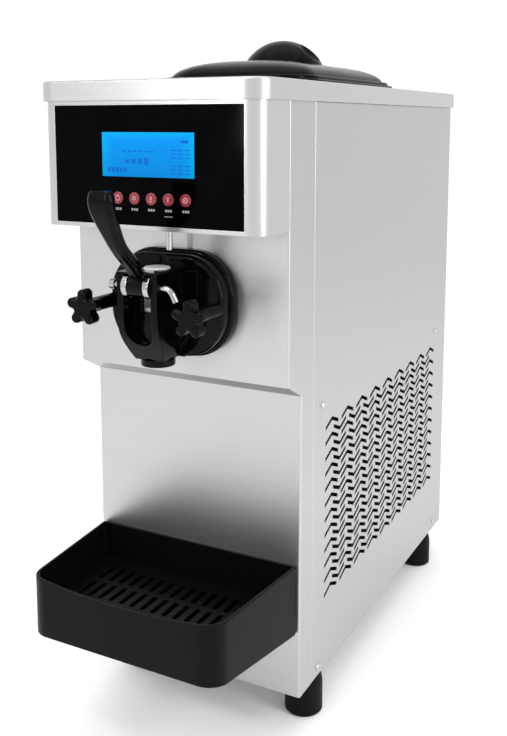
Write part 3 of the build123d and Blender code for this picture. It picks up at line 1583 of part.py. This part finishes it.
# ---------------------------------------------------------------- electrics
# Power box and the appliance inlet in the rear panel.
box_x = -20.0
box_y = front_y + 400.0
box_size = (110.0, 74.0)
box_height = 90.0
with BuildPart() as power_box:
    with BuildSketch(Plane.XY.offset(base_z + pan_sheet)):
        with Locations((box_x, box_y)):
            RectangleRounded(*box_size, 4)
    extrude(amount=box_height)
    fillet(power_box.faces().sort_by(Axis.Z)[-1].edges(), 2)
save(power_box, "power_box")

inlet_depth = 24.0
inlet_flange = 3.0
inlet_wall = 2.5
blade_root_y = rear_y - 16.0
blade_places = [(inlet_x - 7, inlet_z - 2), (inlet_x + 7, inlet_z - 2), (inlet_x, inlet_z + 3)]
with BuildPart() as power_inlet:
    with BuildSketch(facing_front(rear_y + inlet_flange)):
        with Locations((inlet_x, inlet_z)):
            RectangleRounded(inlet_width + 12, inlet_height + 8, inlet_flange)
    extrude(amount=inlet_flange)
    with BuildSketch(facing_front(rear_y + 1)):
        with Locations((inlet_x, inlet_z)):
            Rectangle(inlet_width, inlet_height)
    extrude(amount=inlet_depth + 1)
    with BuildSketch(facing_front(rear_y + inlet_flange + 1)):
        with Locations((inlet_x, inlet_z)):
            Rectangle(inlet_width - 2 * inlet_wall, inlet_height - 2 * inlet_wall)
    extrude(amount=rear_y + inlet_flange + 1 - blade_root_y, mode=Mode.SUBTRACT)
    with BuildSketch(facing_front(blade_root_y)):
        with Locations(*blade_places):
            Rectangle(2, 4)
    extrude(amount=-14)
save(power_inlet, "power_inlet")
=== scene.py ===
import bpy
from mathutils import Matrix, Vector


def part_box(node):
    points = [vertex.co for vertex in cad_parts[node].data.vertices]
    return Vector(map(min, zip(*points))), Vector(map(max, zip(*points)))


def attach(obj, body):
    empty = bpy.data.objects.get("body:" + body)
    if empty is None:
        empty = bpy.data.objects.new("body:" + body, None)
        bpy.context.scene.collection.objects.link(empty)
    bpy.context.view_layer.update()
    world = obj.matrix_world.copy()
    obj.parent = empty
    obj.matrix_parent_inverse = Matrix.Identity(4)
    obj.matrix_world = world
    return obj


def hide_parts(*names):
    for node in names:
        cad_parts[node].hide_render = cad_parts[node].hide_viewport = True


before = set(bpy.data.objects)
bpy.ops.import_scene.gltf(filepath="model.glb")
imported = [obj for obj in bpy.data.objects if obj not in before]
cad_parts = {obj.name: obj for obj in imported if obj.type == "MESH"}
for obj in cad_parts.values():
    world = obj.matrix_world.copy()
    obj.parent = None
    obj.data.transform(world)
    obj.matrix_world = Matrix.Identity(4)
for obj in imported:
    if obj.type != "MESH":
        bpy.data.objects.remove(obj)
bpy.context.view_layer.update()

from math import pi, radians

import bmesh
import bpy
from mathutils import Matrix, Vector

# ---------------------------------------------------------------- stainless casing
# The folded panels, the cover and the display housing: 1.5 mm stainless sheet, grit-brushed to a
# satin and cleaned. The bends are tight, and the panels meet at narrow dark seams.
MM = 0.001


def tint(hex_value):
    """Linear RGBA of an sRGB hex value."""
    channels = [int(hex_value[i:i + 2], 16) / 255 for i in (0, 2, 4)]
    return [c / 12.92 if c <= 0.04045 else ((c + 0.055) / 1.055) ** 2.4 for c in channels] + [1.0]


def add_node(tree, kind, inputs=(), **settings):
    """A node with its settings; an input is a value or the output socket that it is linked to."""
    made = tree.nodes.new(kind)
    for name, value in settings.items():
        setattr(made, name, value)
    for name, value in dict(inputs).items():
        if isinstance(value, bpy.types.NodeSocket):
            tree.links.new(value, made.inputs[name])
        else:
            made.inputs[name].default_value = value
    return made


def new_material(name, shader_values):
    """A material, its tree and its shader, with the values that are the same all over set on the shader."""
    made = bpy.data.materials.new(name)
    made.use_nodes = True
    shader = made.node_tree.nodes["Principled BSDF"]
    for socket, value in shader_values.items():
        shader.inputs[socket].default_value = value
    return made, made.node_tree, shader


def finished(name, tones, gloss, marks_mm, relief_mm, edge_mm, shader_values):
    """A material whose colour, roughness and relief follow one noise.

    tones and gloss are each a low and a high end, marks_mm is the size of the marks on x, y and z,
    relief_mm is how deep they are, and edge_mm is the radius that edges are broken to.
    """
    made, tree, shader = new_material(name, shader_values)
    place = add_node(tree, "ShaderNodeTexCoord")
    scaled = add_node(
        tree,
        "ShaderNodeMapping",
        {"Vector": place.outputs["Object"], "Scale": [1 / (size * MM) for size in marks_mm]},
    )
    marks = add_node(
        tree, "ShaderNodeTexNoise", {"Vector": scaled.outputs["Vector"], "Scale": 1.0, "Detail": 2.0}
    )
    spread = {"Value": marks.outputs["Fac"], "From Min": 0.3, "From Max": 0.7}
    mixed = add_node(tree, "ShaderNodeMapRange", spread)
    tone = add_node(tree, "ShaderNodeValToRGB", {"Fac": mixed.outputs["Result"]})
    for stop, colour in zip(tone.color_ramp.elements, tones):
        stop.color = tint(colour)
    rough = add_node(tree, "ShaderNodeMapRange", {**spread, "To Min": gloss[0], "To Max": gloss[1]})
    edge = add_node(tree, "ShaderNodeBevel", {"Radius": edge_mm * MM}, samples=4)
    relief = add_node(
        tree,
        "ShaderNodeBump",
        {
            "Height": marks.outputs["Fac"],
            "Distance": relief_mm * MM,
            "Strength": 0.4,
            "Normal": edge.outputs["Normal"],
        },
    )
    tree.links.new(tone.outputs["Color"], shader.inputs["Base Color"])
    tree.links.new(rough.outputs["Result"], shader.inputs["Roughness"])
    tree.links.new(relief.outputs["Normal"], shader.inputs["Normal"])
    return made


def coat(material, *node_names):
    """Gives CAD nodes a material."""
    for name in node_names:
        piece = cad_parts[name]
        if not piece.material_slots:
            piece.data.materials.append(material)
        for held in piece.material_slots:
            held.material = material


# Grit 240 lines are a few hundredths of a millimetre apart: drawn near 1 mm so that they show.
casing_steel = finished(
    "brushed_stainless_steel",
    ("b4b5b7", "b8b9ba"),
    (0.36, 0.39),
    (120.0, 120.0, 0.9),
    0.0001,
    0.25,
    {"Metallic": 1.0},
)
coat(casing_steel, "front_shell", "right_side_panel", "left_side_panel", "rear_panel")
cover_steel = finished(
    "brushed_stainless_cover",
    ("bdbec0", "c1c2c3"),
    (0.27, 0.30),
    (120.0, 120.0, 0.9),
    0.0001,
    0.7,
    {"Metallic": 1.0},
)
coat(cover_steel, "top_cover", "display_housing")

# ---------------------------------------------------------------- galvanised inner sheet
# Base pan, posts, deck, fan shroud and tray bracket: hot-dip galvanised steel, folded and spot
# welded, with the flat grey crystals of the zinc.
zinc, tree, shader = new_material("galvanised_steel", {"Metallic": 1.0})
place = add_node(tree, "ShaderNodeTexCoord")
crystals = add_node(
    tree, "ShaderNodeTexVoronoi", {"Vector": place.outputs["Object"], "Scale": 1 / (9.0 * MM)}
)
crystal_tone = add_node(tree, "ShaderNodeValToRGB", {"Fac": crystals.outputs["Color"]})
for stop, colour in zip(crystal_tone.color_ramp.elements, ("8e9396", "b3b7b9")):
    stop.color = tint(colour)
crystal_gloss = add_node(
    tree, "ShaderNodeMapRange", {"Value": crystals.outputs["Color"], "To Min": 0.38, "To Max": 0.55}
)
folded = add_node(tree, "ShaderNodeBevel", {"Radius": 0.5 * MM}, samples=4)
tree.links.new(crystal_tone.outputs["Color"], shader.inputs["Base Color"])
tree.links.new(crystal_gloss.outputs["Result"], shader.inputs["Roughness"])
tree.links.new(folded.outputs["Normal"], shader.inputs["Normal"])
coat(zinc, "base_pan", "inner_frame", "deck", "tray_bracket", "fan_shroud")

# ---------------------------------------------------------------- machined and drawn steel
# Hopper, barrel, beater, tubes, bolts and rod: bright stainless, drawn or turned, then polished.
bright_steel = finished(
    "polished_stainless_steel",
    ("b9bbbd", "c9cbcc"),
    (0.16, 0.26),
    (3.0, 3.0, 0.8),
    0.001,
    0.4,
    {"Metallic": 1.0},
)
coat(bright_steel, "foot_bolts", "door_studs", "hopper", "feed_tube", "freezing_barrel")
coat(bright_steel, "beater", "door_rod")

# ---------------------------------------------------------------- casing screws
# Pan-head machine screws, four in each side panel and four in the rear panel: zinc-plated steel,
# cold-headed, with a punched cross recess.
head_radius = 3.6 * MM
head_height = 1.8 * MM
recess_reach = 1.9 * MM
recess_half = 0.55 * MM
recess_depth = 1.1 * MM
head_segments = 12


def screw_head(place, outwards):
    """A bmesh of one head, standing on place and facing outwards."""
    head = bmesh.new()
    rim = bmesh.ops.create_circle(head, segments=head_segments, radius=head_radius)["verts"]
    shoulder = bmesh.ops.create_circle(head, segments=head_segments, radius=head_radius * 0.98)["verts"]
    crown = bmesh.ops.create_circle(head, segments=head_segments, radius=head_radius * 0.72)["verts"]
    recess = bmesh.ops.create_circle(head, segments=head_segments, radius=recess_reach)["verts"]
    sump = bmesh.ops.create_circle(head, segments=head_segments, radius=recess_half * 0.9)["verts"]
    levels = (0, head_height * 0.45, head_height * 0.94, head_height, head_height - recess_depth)
    for ring, level in zip((rim, shoulder, crown, recess, sump), levels):
        bmesh.ops.translate(head, verts=ring, vec=(0, 0, level))
    # the recess's ring becomes a cross: three corners for each of its four arms
    corners = ((recess_reach, recess_half), (recess_half, recess_half), (recess_half, recess_reach))
    round_the_ring = sorted(recess, key=lambda v: v.co.to_2d().angle_signed(Vector((1, 0))) % (2 * pi))
    for index, vertex in enumerate(round_the_ring):
        x, y = corners[index % 3]
        turned = Matrix.Rotation(radians(90) * (index // 3), 2) @ Vector((x, y))
        vertex.co.x, vertex.co.y = turned
    rings = (rim, shoulder, crown, recess, sump)
    for lower, upper in zip(rings, rings[1:]):
        edges = [
            edge
            for edge in head.edges
            if all(v in lower for v in edge.verts) or all(v in upper for v in edge.verts)
        ]
        bmesh.ops.bridge_loops(head, edges=edges)
    bmesh.ops.contextual_create(head, geom=sump)
    bmesh.ops.recalc_face_normals(head, faces=head.faces)
    turn = Vector(outwards).to_track_quat("Z", "Y").to_matrix().to_4x4()
    bmesh.ops.transform(head, matrix=Matrix.Translation(place) @ turn, verts=head.verts)
    return head


def joined(name, parts):
    """One object at the origin from several bmeshes."""
    mesh = bpy.data.meshes.new(name)
    whole = bmesh.new()
    for part in parts:
        part.to_mesh(mesh)
        whole.from_mesh(mesh)
        part.free()
    whole.to_mesh(mesh)
    whole.free()
    made = bpy.data.objects.new(name, mesh)
    bpy.context.scene.collection.objects.link(made)
    return made


def smooth(piece, angle=30.0):
    """Shades a piece smooth, but for edges sharper than angle."""
    piece.data.shade_smooth()
    whole = bmesh.new()
    whole.from_mesh(piece.data)
    for edge in whole.edges:
        edge.smooth = len(edge.link_faces) == 2 and edge.calc_face_angle(0) < radians(angle)
    whole.to_mesh(piece.data)
    whole.free()
    return piece


panel_low, panel_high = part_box("right_side_panel")
rear_low, rear_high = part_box("rear_panel")
upper_z = panel_low.z + 290.0 * MM
lower_z = panel_low.z + 9.7 * MM
upper_ys = (23.7 * MM, 410.7 * MM)
lower_front_y = 15.7 * MM
lower_rear_y = 422.7 * MM
side_places = [(panel_low.y + y, upper_z) for y in upper_ys]
side_places += [(panel_low.y + lower_front_y, lower_z), (panel_low.y + lower_rear_y, lower_z + MM)]
screw_parts = [
    screw_head((side * panel_high.x, y, z), (side, 0, 0)) for side in (-1, 1) for y, z in side_places
]
rear_inset = 12.0 * MM
rear_drop = 40.0 * MM
screw_parts += [
    screw_head((x, rear_high.y, z), (0, 1, 0))
    for x in (rear_low.x + rear_inset, rear_high.x - rear_inset)
    for z in (rear_low.z + rear_drop, rear_high.z - rear_drop)
]
screws = smooth(joined("casing_screw_heads", screw_parts))
screws.data.materials.append(bright_steel)
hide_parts("casing_screws")
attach(screws, "cabinet")

# ---------------------------------------------------------------- display glass
# The display window: 3 mm float glass, back-painted black, bonded into the housing's opening
# with a narrow bright steel bezel round it. Its specular level, like that of the other blacks, is
# kept far below glass's own, because the white room round the machine would turn it grey.
display_black = finished(
    "back_painted_glass",
    ("000000", "020202"),
    (0.05, 0.09),
    (45.0, 45.0, 45.0),
    0.0005,
    0.3,
    {"IOR": 1.52, "Specular IOR Level": 0.03},
)
coat(display_black, "display_glass")

glass_low, glass_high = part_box("display_glass")
glass_face = glass_low.y
bezel_width = 1.2 * MM
bezel_proud = 0.5 * MM
bezel = bmesh.new()
bmesh.ops.create_grid(bezel, x_segments=1, y_segments=1, size=0.5)
bezel_across = glass_high.x - glass_low.x + 2 * bezel_width
bezel_upright = glass_high.z - glass_low.z + 2 * bezel_width
bmesh.ops.scale(bezel, vec=(bezel_across, bezel_upright, 1), verts=bezel.verts)
bmesh.ops.inset_region(
    bezel, faces=bezel.faces, thickness=bezel_width, use_even_offset=True, use_boundary=True
)
middle_face = min(bezel.faces, key=lambda face: face.calc_center_median().length)
bmesh.ops.delete(bezel, geom=[middle_face], context="FACES_ONLY")
bmesh.ops.solidify(bezel, geom=bezel.faces, thickness=bezel_proud)
face_forward = Matrix.Translation(
    ((glass_low.x + glass_high.x) / 2, glass_face, (glass_low.z + glass_high.z) / 2)
) @ Matrix.Rotation(radians(90), 4, "X")
bmesh.ops.transform(bezel, matrix=face_forward, verts=bezel.verts)
bmesh.ops.recalc_face_normals(bezel, faces=bezel.faces)
glass_bezel = joined("glass_bezel", [bezel])
edge_round = glass_bezel.modifiers.new("rounded", "BEVEL")
edge_round.width = 0.15 * MM
edge_round.segments = 2
glass_bezel.data.materials.append(cover_steel)
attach(glass_bezel, "cabinet")

# ---------------------------------------------------------------- lit display
# The LCD: a backlit blue module behind its window, brighter at its sides and top, with plain
# dark-blue bars for its readings.
lcd_low, lcd_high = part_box("lcd_module")
window_half = Vector((50.0 * MM, 20.2 * MM))
side_glow = 14 * MM
top_glow = 7 * MM
window_middle = Vector(((lcd_low.x + lcd_high.x) / 2, (lcd_low.z + lcd_high.z) / 2))
lcd_lit, tree, shader = new_material(
    "backlit_lcd",
    {
        "Base Color": tint("001830"),
        "Roughness": 0.4,
        "IOR": 1.49,
        "Specular IOR Level": 0.05,
        "Emission Strength": 1.0,
    },
)
place = add_node(tree, "ShaderNodeTexCoord")
centred = add_node(
    tree,
    "ShaderNodeVectorMath",
    {0: place.outputs["Object"], 1: (window_middle.x, 0, window_middle.y)},
    operation="SUBTRACT",
)
split = add_node(tree, "ShaderNodeSeparateXYZ", {"Vector": centred.outputs["Vector"]})
across = add_node(tree, "ShaderNodeMath", {0: split.outputs["X"]}, operation="ABSOLUTE")
near_side = add_node(
    tree,
    "ShaderNodeMapRange",
    {"Value": across.outputs[0], "From Min": window_half.x - side_glow, "From Max": window_half.x},
)
near_top = add_node(
    tree,
    "ShaderNodeMapRange",
    {"Value": split.outputs["Z"], "From Min": window_half.y - top_glow, "From Max": window_half.y},
)
edge_glow = add_node(
    tree,
    "ShaderNodeMath",
    {0: near_side.outputs["Result"], 1: near_top.outputs["Result"]},
    operation="MAXIMUM",
)
glow = add_node(tree, "ShaderNodeValToRGB", {"Fac": edge_glow.outputs[0]})
for stop, colour in zip(glow.color_ramp.elements, ("009cfa", "00b4ff")):
    stop.color = tint(colour)
fall = add_node(
    tree,
    "ShaderNodeMapRange",
    {
        "Value": split.outputs["Z"],
        "From Min": -window_half.y,
        "From Max": window_half.y,
        "To Min": 0.72,
        "To Max": 1.0,
    },
)
shaded = add_node(
    tree,
    "ShaderNodeVectorMath",
    {0: glow.outputs["Color"], "Scale": fall.outputs["Result"]},
    operation="SCALE",
)
tree.links.new(shaded.outputs["Vector"], shader.inputs["Emission Color"])
coat(lcd_lit, "lcd_module")

ink_height = 0.08 * MM


def printed_bar(x, z, width, height, face_y, rise=ink_height):
    """A thin block of print, centred on x and z, standing on a front face."""
    bar = bmesh.new()
    bmesh.ops.create_cube(bar, size=1.0)
    bmesh.ops.scale(bar, vec=(width * MM, rise, height * MM), verts=bar.verts)
    bmesh.ops.translate(bar, vec=(x * MM, face_y - rise / 2, z * MM), verts=bar.verts)
    return bar


segment_ink = finished(
    "lcd_segments",
    ("043a70", "064684"),
    (0.35, 0.45),
    (6.0, 6.0, 6.0),
    0.001,
    0.02,
    {"Specular IOR Level": 0.05, "Emission Color": tint("0460b8"), "Emission Strength": 0.7},
)
lcd_face_y = lcd_low.y
middle_x = window_middle.x / MM
middle_z = window_middle.y / MM
# rows: how many bars, x and z of the first from the window's middle, pitch, width, height, growth
bar_rows = [
    (4, -22, -6, 7.0, 4.6, 3.0, 1.1),
    (6, -25, 3, 6.0, 3.8, 1.2, 0.0),
    (5, -42, -14, 4.4, 3.0, 4.4, 0.0),
    (1, 40, 12, 0.0, 8.0, 2.6, 0.0),
]
bar_rows += [
    (3, 28, figure_z + stroke_z, 7.5, 5.0, 0.9, 0.0)
    for figure_z in (-13, 1)
    for stroke_z in (-3.4, 0, 3.4)
]
bars = [
    printed_bar(
        middle_x + x + pitch * column, middle_z + z, bar_width, height + growth * column, lcd_face_y
    )
    for count, x, z, pitch, bar_width, height, growth in bar_rows
    for column in range(count)
]
lcd_bars = joined("lcd_bars", bars)
lcd_bars.data.materials.append(segment_ink)
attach(lcd_bars, "cabinet")

# ---------------------------------------------------------------- buttons and their print
# Five round caps of translucent red polycarbonate over small lamps, each with a pale pictogram,
# and a short pale caption printed on the glass below it.
button_red = finished(
    "lit_red_polycarbonate",
    ("66101b", "781824"),
    (0.2, 0.26),
    (5.0, 5.0, 5.0),
    0.002,
    0.3,
    {"IOR": 1.58, "Emission Color": tint("a01c2c"), "Emission Strength": 0.10},
)
button_nodes = ("button_standby", "button_chill", "button_single", "button_mix", "button_set")
coat(button_red, *button_nodes)

pale_ink = finished(
    "pale_screen_print", ("b0727a", "bc868c"), (0.45, 0.55), (2.0, 2.0, 2.0), 0.001, 0.02, {"IOR": 1.5}
)
grey_ink = finished(
    "grey_screen_print", ("77777a", "8d8d90"), (0.45, 0.55), (2.0, 2.0, 2.0), 0.001, 0.02, {"IOR": 1.5}
)


def ring_print(x, z, radius, width, face_y):
    """A printed ring of outer radius and width."""
    band = bmesh.new()
    for reach in (radius, radius - width):
        bmesh.ops.create_circle(band, segments=24, radius=reach * MM)
    bmesh.ops.bridge_loops(band, edges=band.edges)
    raised = bmesh.ops.extrude_face_region(band, geom=band.faces[:])["geom"]
    bmesh.ops.translate(
        band, vec=(0, 0, ink_height), verts=[v for v in raised if isinstance(v, bmesh.types.BMVert)]
    )
    bmesh.ops.recalc_face_normals(band, faces=band.faces)
    matrix = Matrix.Translation((x * MM, face_y, z * MM)) @ Matrix.Rotation(radians(90), 4, "X")
    bmesh.ops.transform(band, matrix=matrix, verts=band.verts)
    return band


# the signs' strokes, in millimetres from the middle of each cap
for name in button_nodes:
    low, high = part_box(name)
    x = (low.x + high.x) / 2 / MM
    z = (low.z + high.z) / 2 / MM
    if name == "button_standby":
        marks = [ring_print(x, z, 2.7, 0.7, low.y), printed_bar(x, z + 2.2, 0.9, 3.0, low.y, 2 * ink_height)]
    elif name == "button_chill":
        marks = [printed_bar(x, z, 0.8, 5.6, low.y)]
        for turn in (60, 120):
            arm = printed_bar(0, 0, 0.8, 5.6, 0.0)
            matrix = Matrix.Translation((x * MM, low.y, z * MM)) @ Matrix.Rotation(radians(turn), 4, "Y")
            bmesh.ops.transform(arm, matrix=matrix, verts=arm.verts)
            marks.append(arm)
    elif name == "button_single":
        marks = [printed_bar(x, z + 0.6, 1.8, 3.4, low.y), printed_bar(x, z - 2.4, 3.2, 0.9, low.y)]
    elif name == "button_mix":
        marks = [printed_bar(x, z, 1.1, 5.2, low.y), printed_bar(x, z + 1.9, 3.4, 1.1, low.y)]
    else:
        marks = [ring_print(x, z, 2.8, 0.9, low.y), ring_print(x, z, 1.1, 0.5, low.y)]
    icon = joined(name + "_icon", marks)
    icon.data.materials.append(pale_ink)
    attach(icon, name)

caption_drop = 10.2
captions = []
for name in button_nodes:
    low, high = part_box(name)
    x = (low.x + high.x) / 2 / MM
    z = (low.z + high.z) / 2 / MM - caption_drop
    captions += [printed_bar(x + shift, z, 2.0, 2.2, glass_face) for shift in (-2.6, 0, 2.6)]
low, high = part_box("button_mix")
rule_z = (low.z + high.z) / 2 / MM - 15.5
captions.append(printed_bar((low.x + high.x) / 2 / MM, rule_z, 9.0, 0.7, glass_face))
caption_print = joined("caption_print", captions)
caption_print.data.materials.append(grey_ink)
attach(caption_print, "cabinet")

# ---------------------------------------------------------------- control board
# The board behind the glass: green solder mask over copper tracks on glass-epoxy laminate. The
# tracks show as a darker and lighter pattern about 22 mm wide.
board, tree, shader = new_material("solder_mask_green", {"Roughness": 0.35, "IOR": 1.5})
place = add_node(tree, "ShaderNodeTexCoord")
tracks = add_node(
    tree, "ShaderNodeTexBrick", {"Vector": place.outputs["Object"], "Scale": 1 / (22.0 * MM)}
)
mask_tone = add_node(tree, "ShaderNodeValToRGB", {"Fac": tracks.outputs["Fac"]})
for stop, colour in zip(mask_tone.color_ramp.elements, ("0b3d23", "1c6b3f")):
    stop.color = tint(colour)
tree.links.new(mask_tone.outputs["Color"], shader.inputs["Base Color"])
coat(board, "control_board")

# ---------------------------------------------------------------- black door and valve plastics
# Freezer door, lever, knobs and nozzle ring: injection-moulded black ABS with a polished tool
# finish, so it shows sharp reflections with a faint waviness from shrinkage.
door_black = finished(
    "gloss_black_abs",
    ("020202", "040404"),
    (0.09, 0.17),
    (14.0, 14.0, 14.0),
    0.05,
    1.0,
    {"IOR": 1.53, "Specular IOR Level": 0.09},
)
coat(door_black, "freezer_door", "draw_lever", "knob_left", "knob_right", "nozzle_cap")

# ---------------------------------------------------------------- draw piston and food plastics
# Piston, scraper blades and air tube: turned or moulded white acetal, waxy and slightly see-through.
acetal = finished(
    "white_acetal",
    ("c4c4c2", "d0d0ce"),
    (0.32, 0.45),
    (8.0, 8.0, 8.0),
    0.01,
    0.5,
    {"IOR": 1.48, "Subsurface Weight": 0.15, "Subsurface Scale": 2.0 * MM},
)
coat(acetal, "draw_piston", "scraper_blades", "air_tube")

# ---------------------------------------------------------------- pin and pivot rings
# The lever's pivot pin and the two rings beside the hub: chrome plate on steel, slightly dulled by
# handling, so it mirrors softly and a little darker than new plate.
chrome = finished(
    "chrome_plate",
    ("a2a4a6", "b0b2b4"),
    (0.1, 0.16),
    (10.0, 10.0, 10.0),
    0.001,
    0.4,
    {"Metallic": 1.0},
)
coat(chrome, "pivot_rings", "pivot_pin")

# ---------------------------------------------------------------- hopper lid
# The loose lid: thick vacuum-formed black ABS with a stepped rim and a ball grip. It is glossy,
# with soft long waves where the sheet was drawn over the tool.
lid_black = finished(
    "vacuum_formed_black_abs",
    ("030303", "060606"),
    (0.14, 0.24),
    (18.0, 60.0, 18.0),
    0.1,
    1.2,
    {"IOR": 1.53, "Specular IOR Level": 0.05},
)
coat(lid_black, "hopper_lid")

# ---------------------------------------------------------------- drip tray and grid
# The tray and its lift-out grid: injection-moulded black polypropylene. The spark-eroded tool gives
# it a fine satin grain, drawn near 1 mm so that it shows.
tray_black = finished(
    "textured_black_polypropylene",
    ("060606", "0a0a0a"),
    (0.34, 0.44),
    (1.2, 1.2, 1.2),
    0.02,
    0.9,
    {"IOR": 1.49, "Specular IOR Level": 0.08},
)
coat(tray_black, "drip_tray", "drip_grid")

# ---------------------------------------------------------------- rubber
# Feet, door seal, piston seals, compressor mounts and belt: moulded nitrile rubber, matt, with
# the light bloom that wax leaves on it.
rubber = finished(
    "nitrile_rubber",
    ("070707", "0f0f0f"),
    (0.45, 0.62),
    (3.0, 3.0, 3.0),
    0.03,
    0.8,
    {"IOR": 1.52, "Specular IOR Level": 0.08},
)
coat(rubber, "feet", "door_seal", "piston_seals", "compressor_mounts", "drive_belt")

# ---------------------------------------------------------------- machine space
# Compressor can, gearbox and drier: welded steel and cast iron under baked black enamel, which
# leaves a slight orange peel in the gloss.
enamel = finished(
    "black_enamel_on_steel",
    ("101112", "191a1b"),
    (0.28, 0.42),
    (4.0, 4.0, 4.0),
    0.06,
    0.8,
    {"IOR": 1.5},
)
coat(enamel, "compressor", "gearbox", "filter_drier")

# Motor housing, condenser fins, pulleys and fan: aluminium, sand-cast or stamped, left bare. The
# sand gives it a fine, dull grain.
aluminium = finished(
    "cast_aluminium",
    ("9fa2a4", "b9bcbe"),
    (0.42, 0.58),
    (1.6, 1.6, 1.6),
    0.05,
    0.5,
    {"Metallic": 1.0},
)
coat(aluminium, "drive_motor", "condenser", "gearbox_pulley", "motor_pulley", "fan_blades", "fan_motor")

# Evaporator jacket and refrigerant lines: drawn copper, brazed at its joints. The heat leaves it
# dull and blotched from orange to brown.
copper = finished(
    "drawn_copper",
    ("8a4a32", "c27a55"),
    (0.28, 0.46),
    (14.0, 14.0, 14.0),
    0.005,
    0.3,
    {"Metallic": 1.0},
)
coat(copper, "evaporator_jacket", "refrigerant_lines")

# Foam block round the barrel: rigid polyurethane foam, cut to shape, so it shows its cells, drawn
# about 2.5 mm wide.
foam = finished(
    "rigid_polyurethane_foam",
    ("b7a468", "d9c98f"),
    (0.8, 0.95),
    (2.5, 2.5, 2.5),
    0.5,
    1.0,
    {"IOR": 1.4},
)
coat(foam, "foam_block")

# Door switch, power box and inlet: moulded black nylon, screwed or clipped in place, with a fine
# matt texture from the tool.
nylon = finished(
    "black_nylon",
    ("131313", "1b1b1c"),
    (0.45, 0.6),
    (1.0, 1.0, 1.0),
    0.03,
    0.5,
    {"IOR": 1.53},
)
coat(nylon, "door_switch", "power_box", "power_inlet")

# ---------------------------------------------------------------- vent shade sheets
# A sheet of black non-woven polyester behind each side panel's vents, folded into upright pleats and held
# against the corner posts. It is painted shade: a dark sheet put behind the vents so that they look dark.
vent_shade_felt = finished(
    "black_felt_painted_shade",
    ("030303", "080808"),
    (0.85, 0.95),
    (0.8, 0.8, 0.8),
    0.05,
    0.3,
    {"IOR": 1.5, "Specular IOR Level": 0.1},
)
pleats = 56
pleat_depth = 0.9 * MM
felt_thickness = 0.8 * MM
shade_sheet_setback = 4.2 * MM  # from the outside of the side panel
shade_sheet_low = Vector((0, panel_low.y + 30 * MM, panel_low.z + 68 * MM))
shade_sheet_high = Vector((0, panel_low.y + 420 * MM, panel_low.z + 282 * MM))
for side, name in ((-1, "vent_shade_sheet_left"), (1, "vent_shade_sheet_right")):
    pleated = bmesh.new()
    bmesh.ops.create_grid(pleated, x_segments=2 * pleats, y_segments=1, size=0.5)
    columns = sorted({round(v.co.x, 5) for v in pleated.verts})
    folds = [v for v in pleated.verts if columns.index(round(v.co.x, 5)) % 2]
    bmesh.ops.scale(
        pleated, vec=(shade_sheet_high.y - shade_sheet_low.y, shade_sheet_high.z - shade_sheet_low.z, 1), verts=pleated.verts
    )
    bmesh.ops.translate(pleated, vec=(0, 0, pleat_depth), verts=folds)
    bmesh.ops.solidify(pleated, geom=pleated.faces, thickness=felt_thickness)
    upright = Matrix(((0, 0, 1), (1, 0, 0), (0, 1, 0))).to_4x4()
    middle_of_shade_sheet = (shade_sheet_low + shade_sheet_high) / 2
    middle_of_shade_sheet.x = side * (panel_high.x - shade_sheet_setback)
    bmesh.ops.transform(pleated, matrix=Matrix.Translation(middle_of_shade_sheet) @ upright, verts=pleated.verts)
    bmesh.ops.recalc_face_normals(pleated, faces=pleated.faces)
    # each pleated sheet is painted shade, a near-black sheet standing where the vents have only shade
    mat = joined(name, [pleated])
    mat.data.materials.append(vent_shade_felt)
    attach(mat, "cabinet")

# ---------------------------------------------------------------- studio
# A plain pale floor under soft light: a large overhead panel, narrow strips at the front left and
# above the front, and a broader strip at the right.
floor_paint = finished(
    "matt_white_floor",
    ("fafafa", "fefefe"),
    (0.85, 0.95),
    (400.0, 400.0, 400.0),
    0.01,
    1.0,
    {"IOR": 1.45},
)
floor_half = 6.0
floor_mesh = bmesh.new()
bmesh.ops.create_grid(floor_mesh, x_segments=1, y_segments=1, size=floor_half)
studio_floor = joined("studio_floor", [floor_mesh])
studio_floor.data.materials.append(floor_paint)

world = bpy.data.worlds.new("studio")
world.use_nodes = True
backdrop = world.node_tree.nodes["Background"]
backdrop.inputs["Color"].default_value = tint("ffffff")
backdrop.inputs["Strength"].default_value = 1.05
bpy.context.scene.world = world
bpy.context.scene.view_settings.view_transform = "Standard"


def soft_panel(name, place, aim, size, power):
    """A square area light at place, turned towards aim."""
    lamp = bpy.data.lights.new(name, "AREA")
    lamp.shape = "RECTANGLE"
    lamp.size, lamp.size_y = size
    lamp.energy = power
    made = bpy.data.objects.new(name, lamp)
    made.location = place
    made.rotation_euler = (Vector(aim) - Vector(place)).to_track_quat("-Z", "Y").to_euler()
    bpy.context.scene.collection.objects.link(made)


middle = (0.0, 0.0, 0.36)
soft_panel("overhead_light", (0.1, -0.2, 2.2), middle, (1.8, 1.8), 8.0)
soft_panel("front_strip", (-0.75, -1.9, 1.15), middle, (0.10, 1.3), 8.0)
soft_panel("top_strip", (-0.35, -1.15, 1.75), middle, (1.2, 0.08), 7.0)
soft_panel("side_strip", (1.75, -0.35, 1.0), middle, (0.5, 1.3), 16.0)

camera = bpy.data.objects.new("camera", bpy.data.cameras.new("camera"))
camera.data.sensor_width = 36.0
camera.data.lens = 45.70
camera.data.shift_y = -0.1604
camera.location = (0.48280, -0.96020, 0.61811)
camera.rotation_euler = (radians(90 - 7.767), 0, radians(27.631))
bpy.context.scene.collection.objects.link(camera)
bpy.context.scene.camera = camera
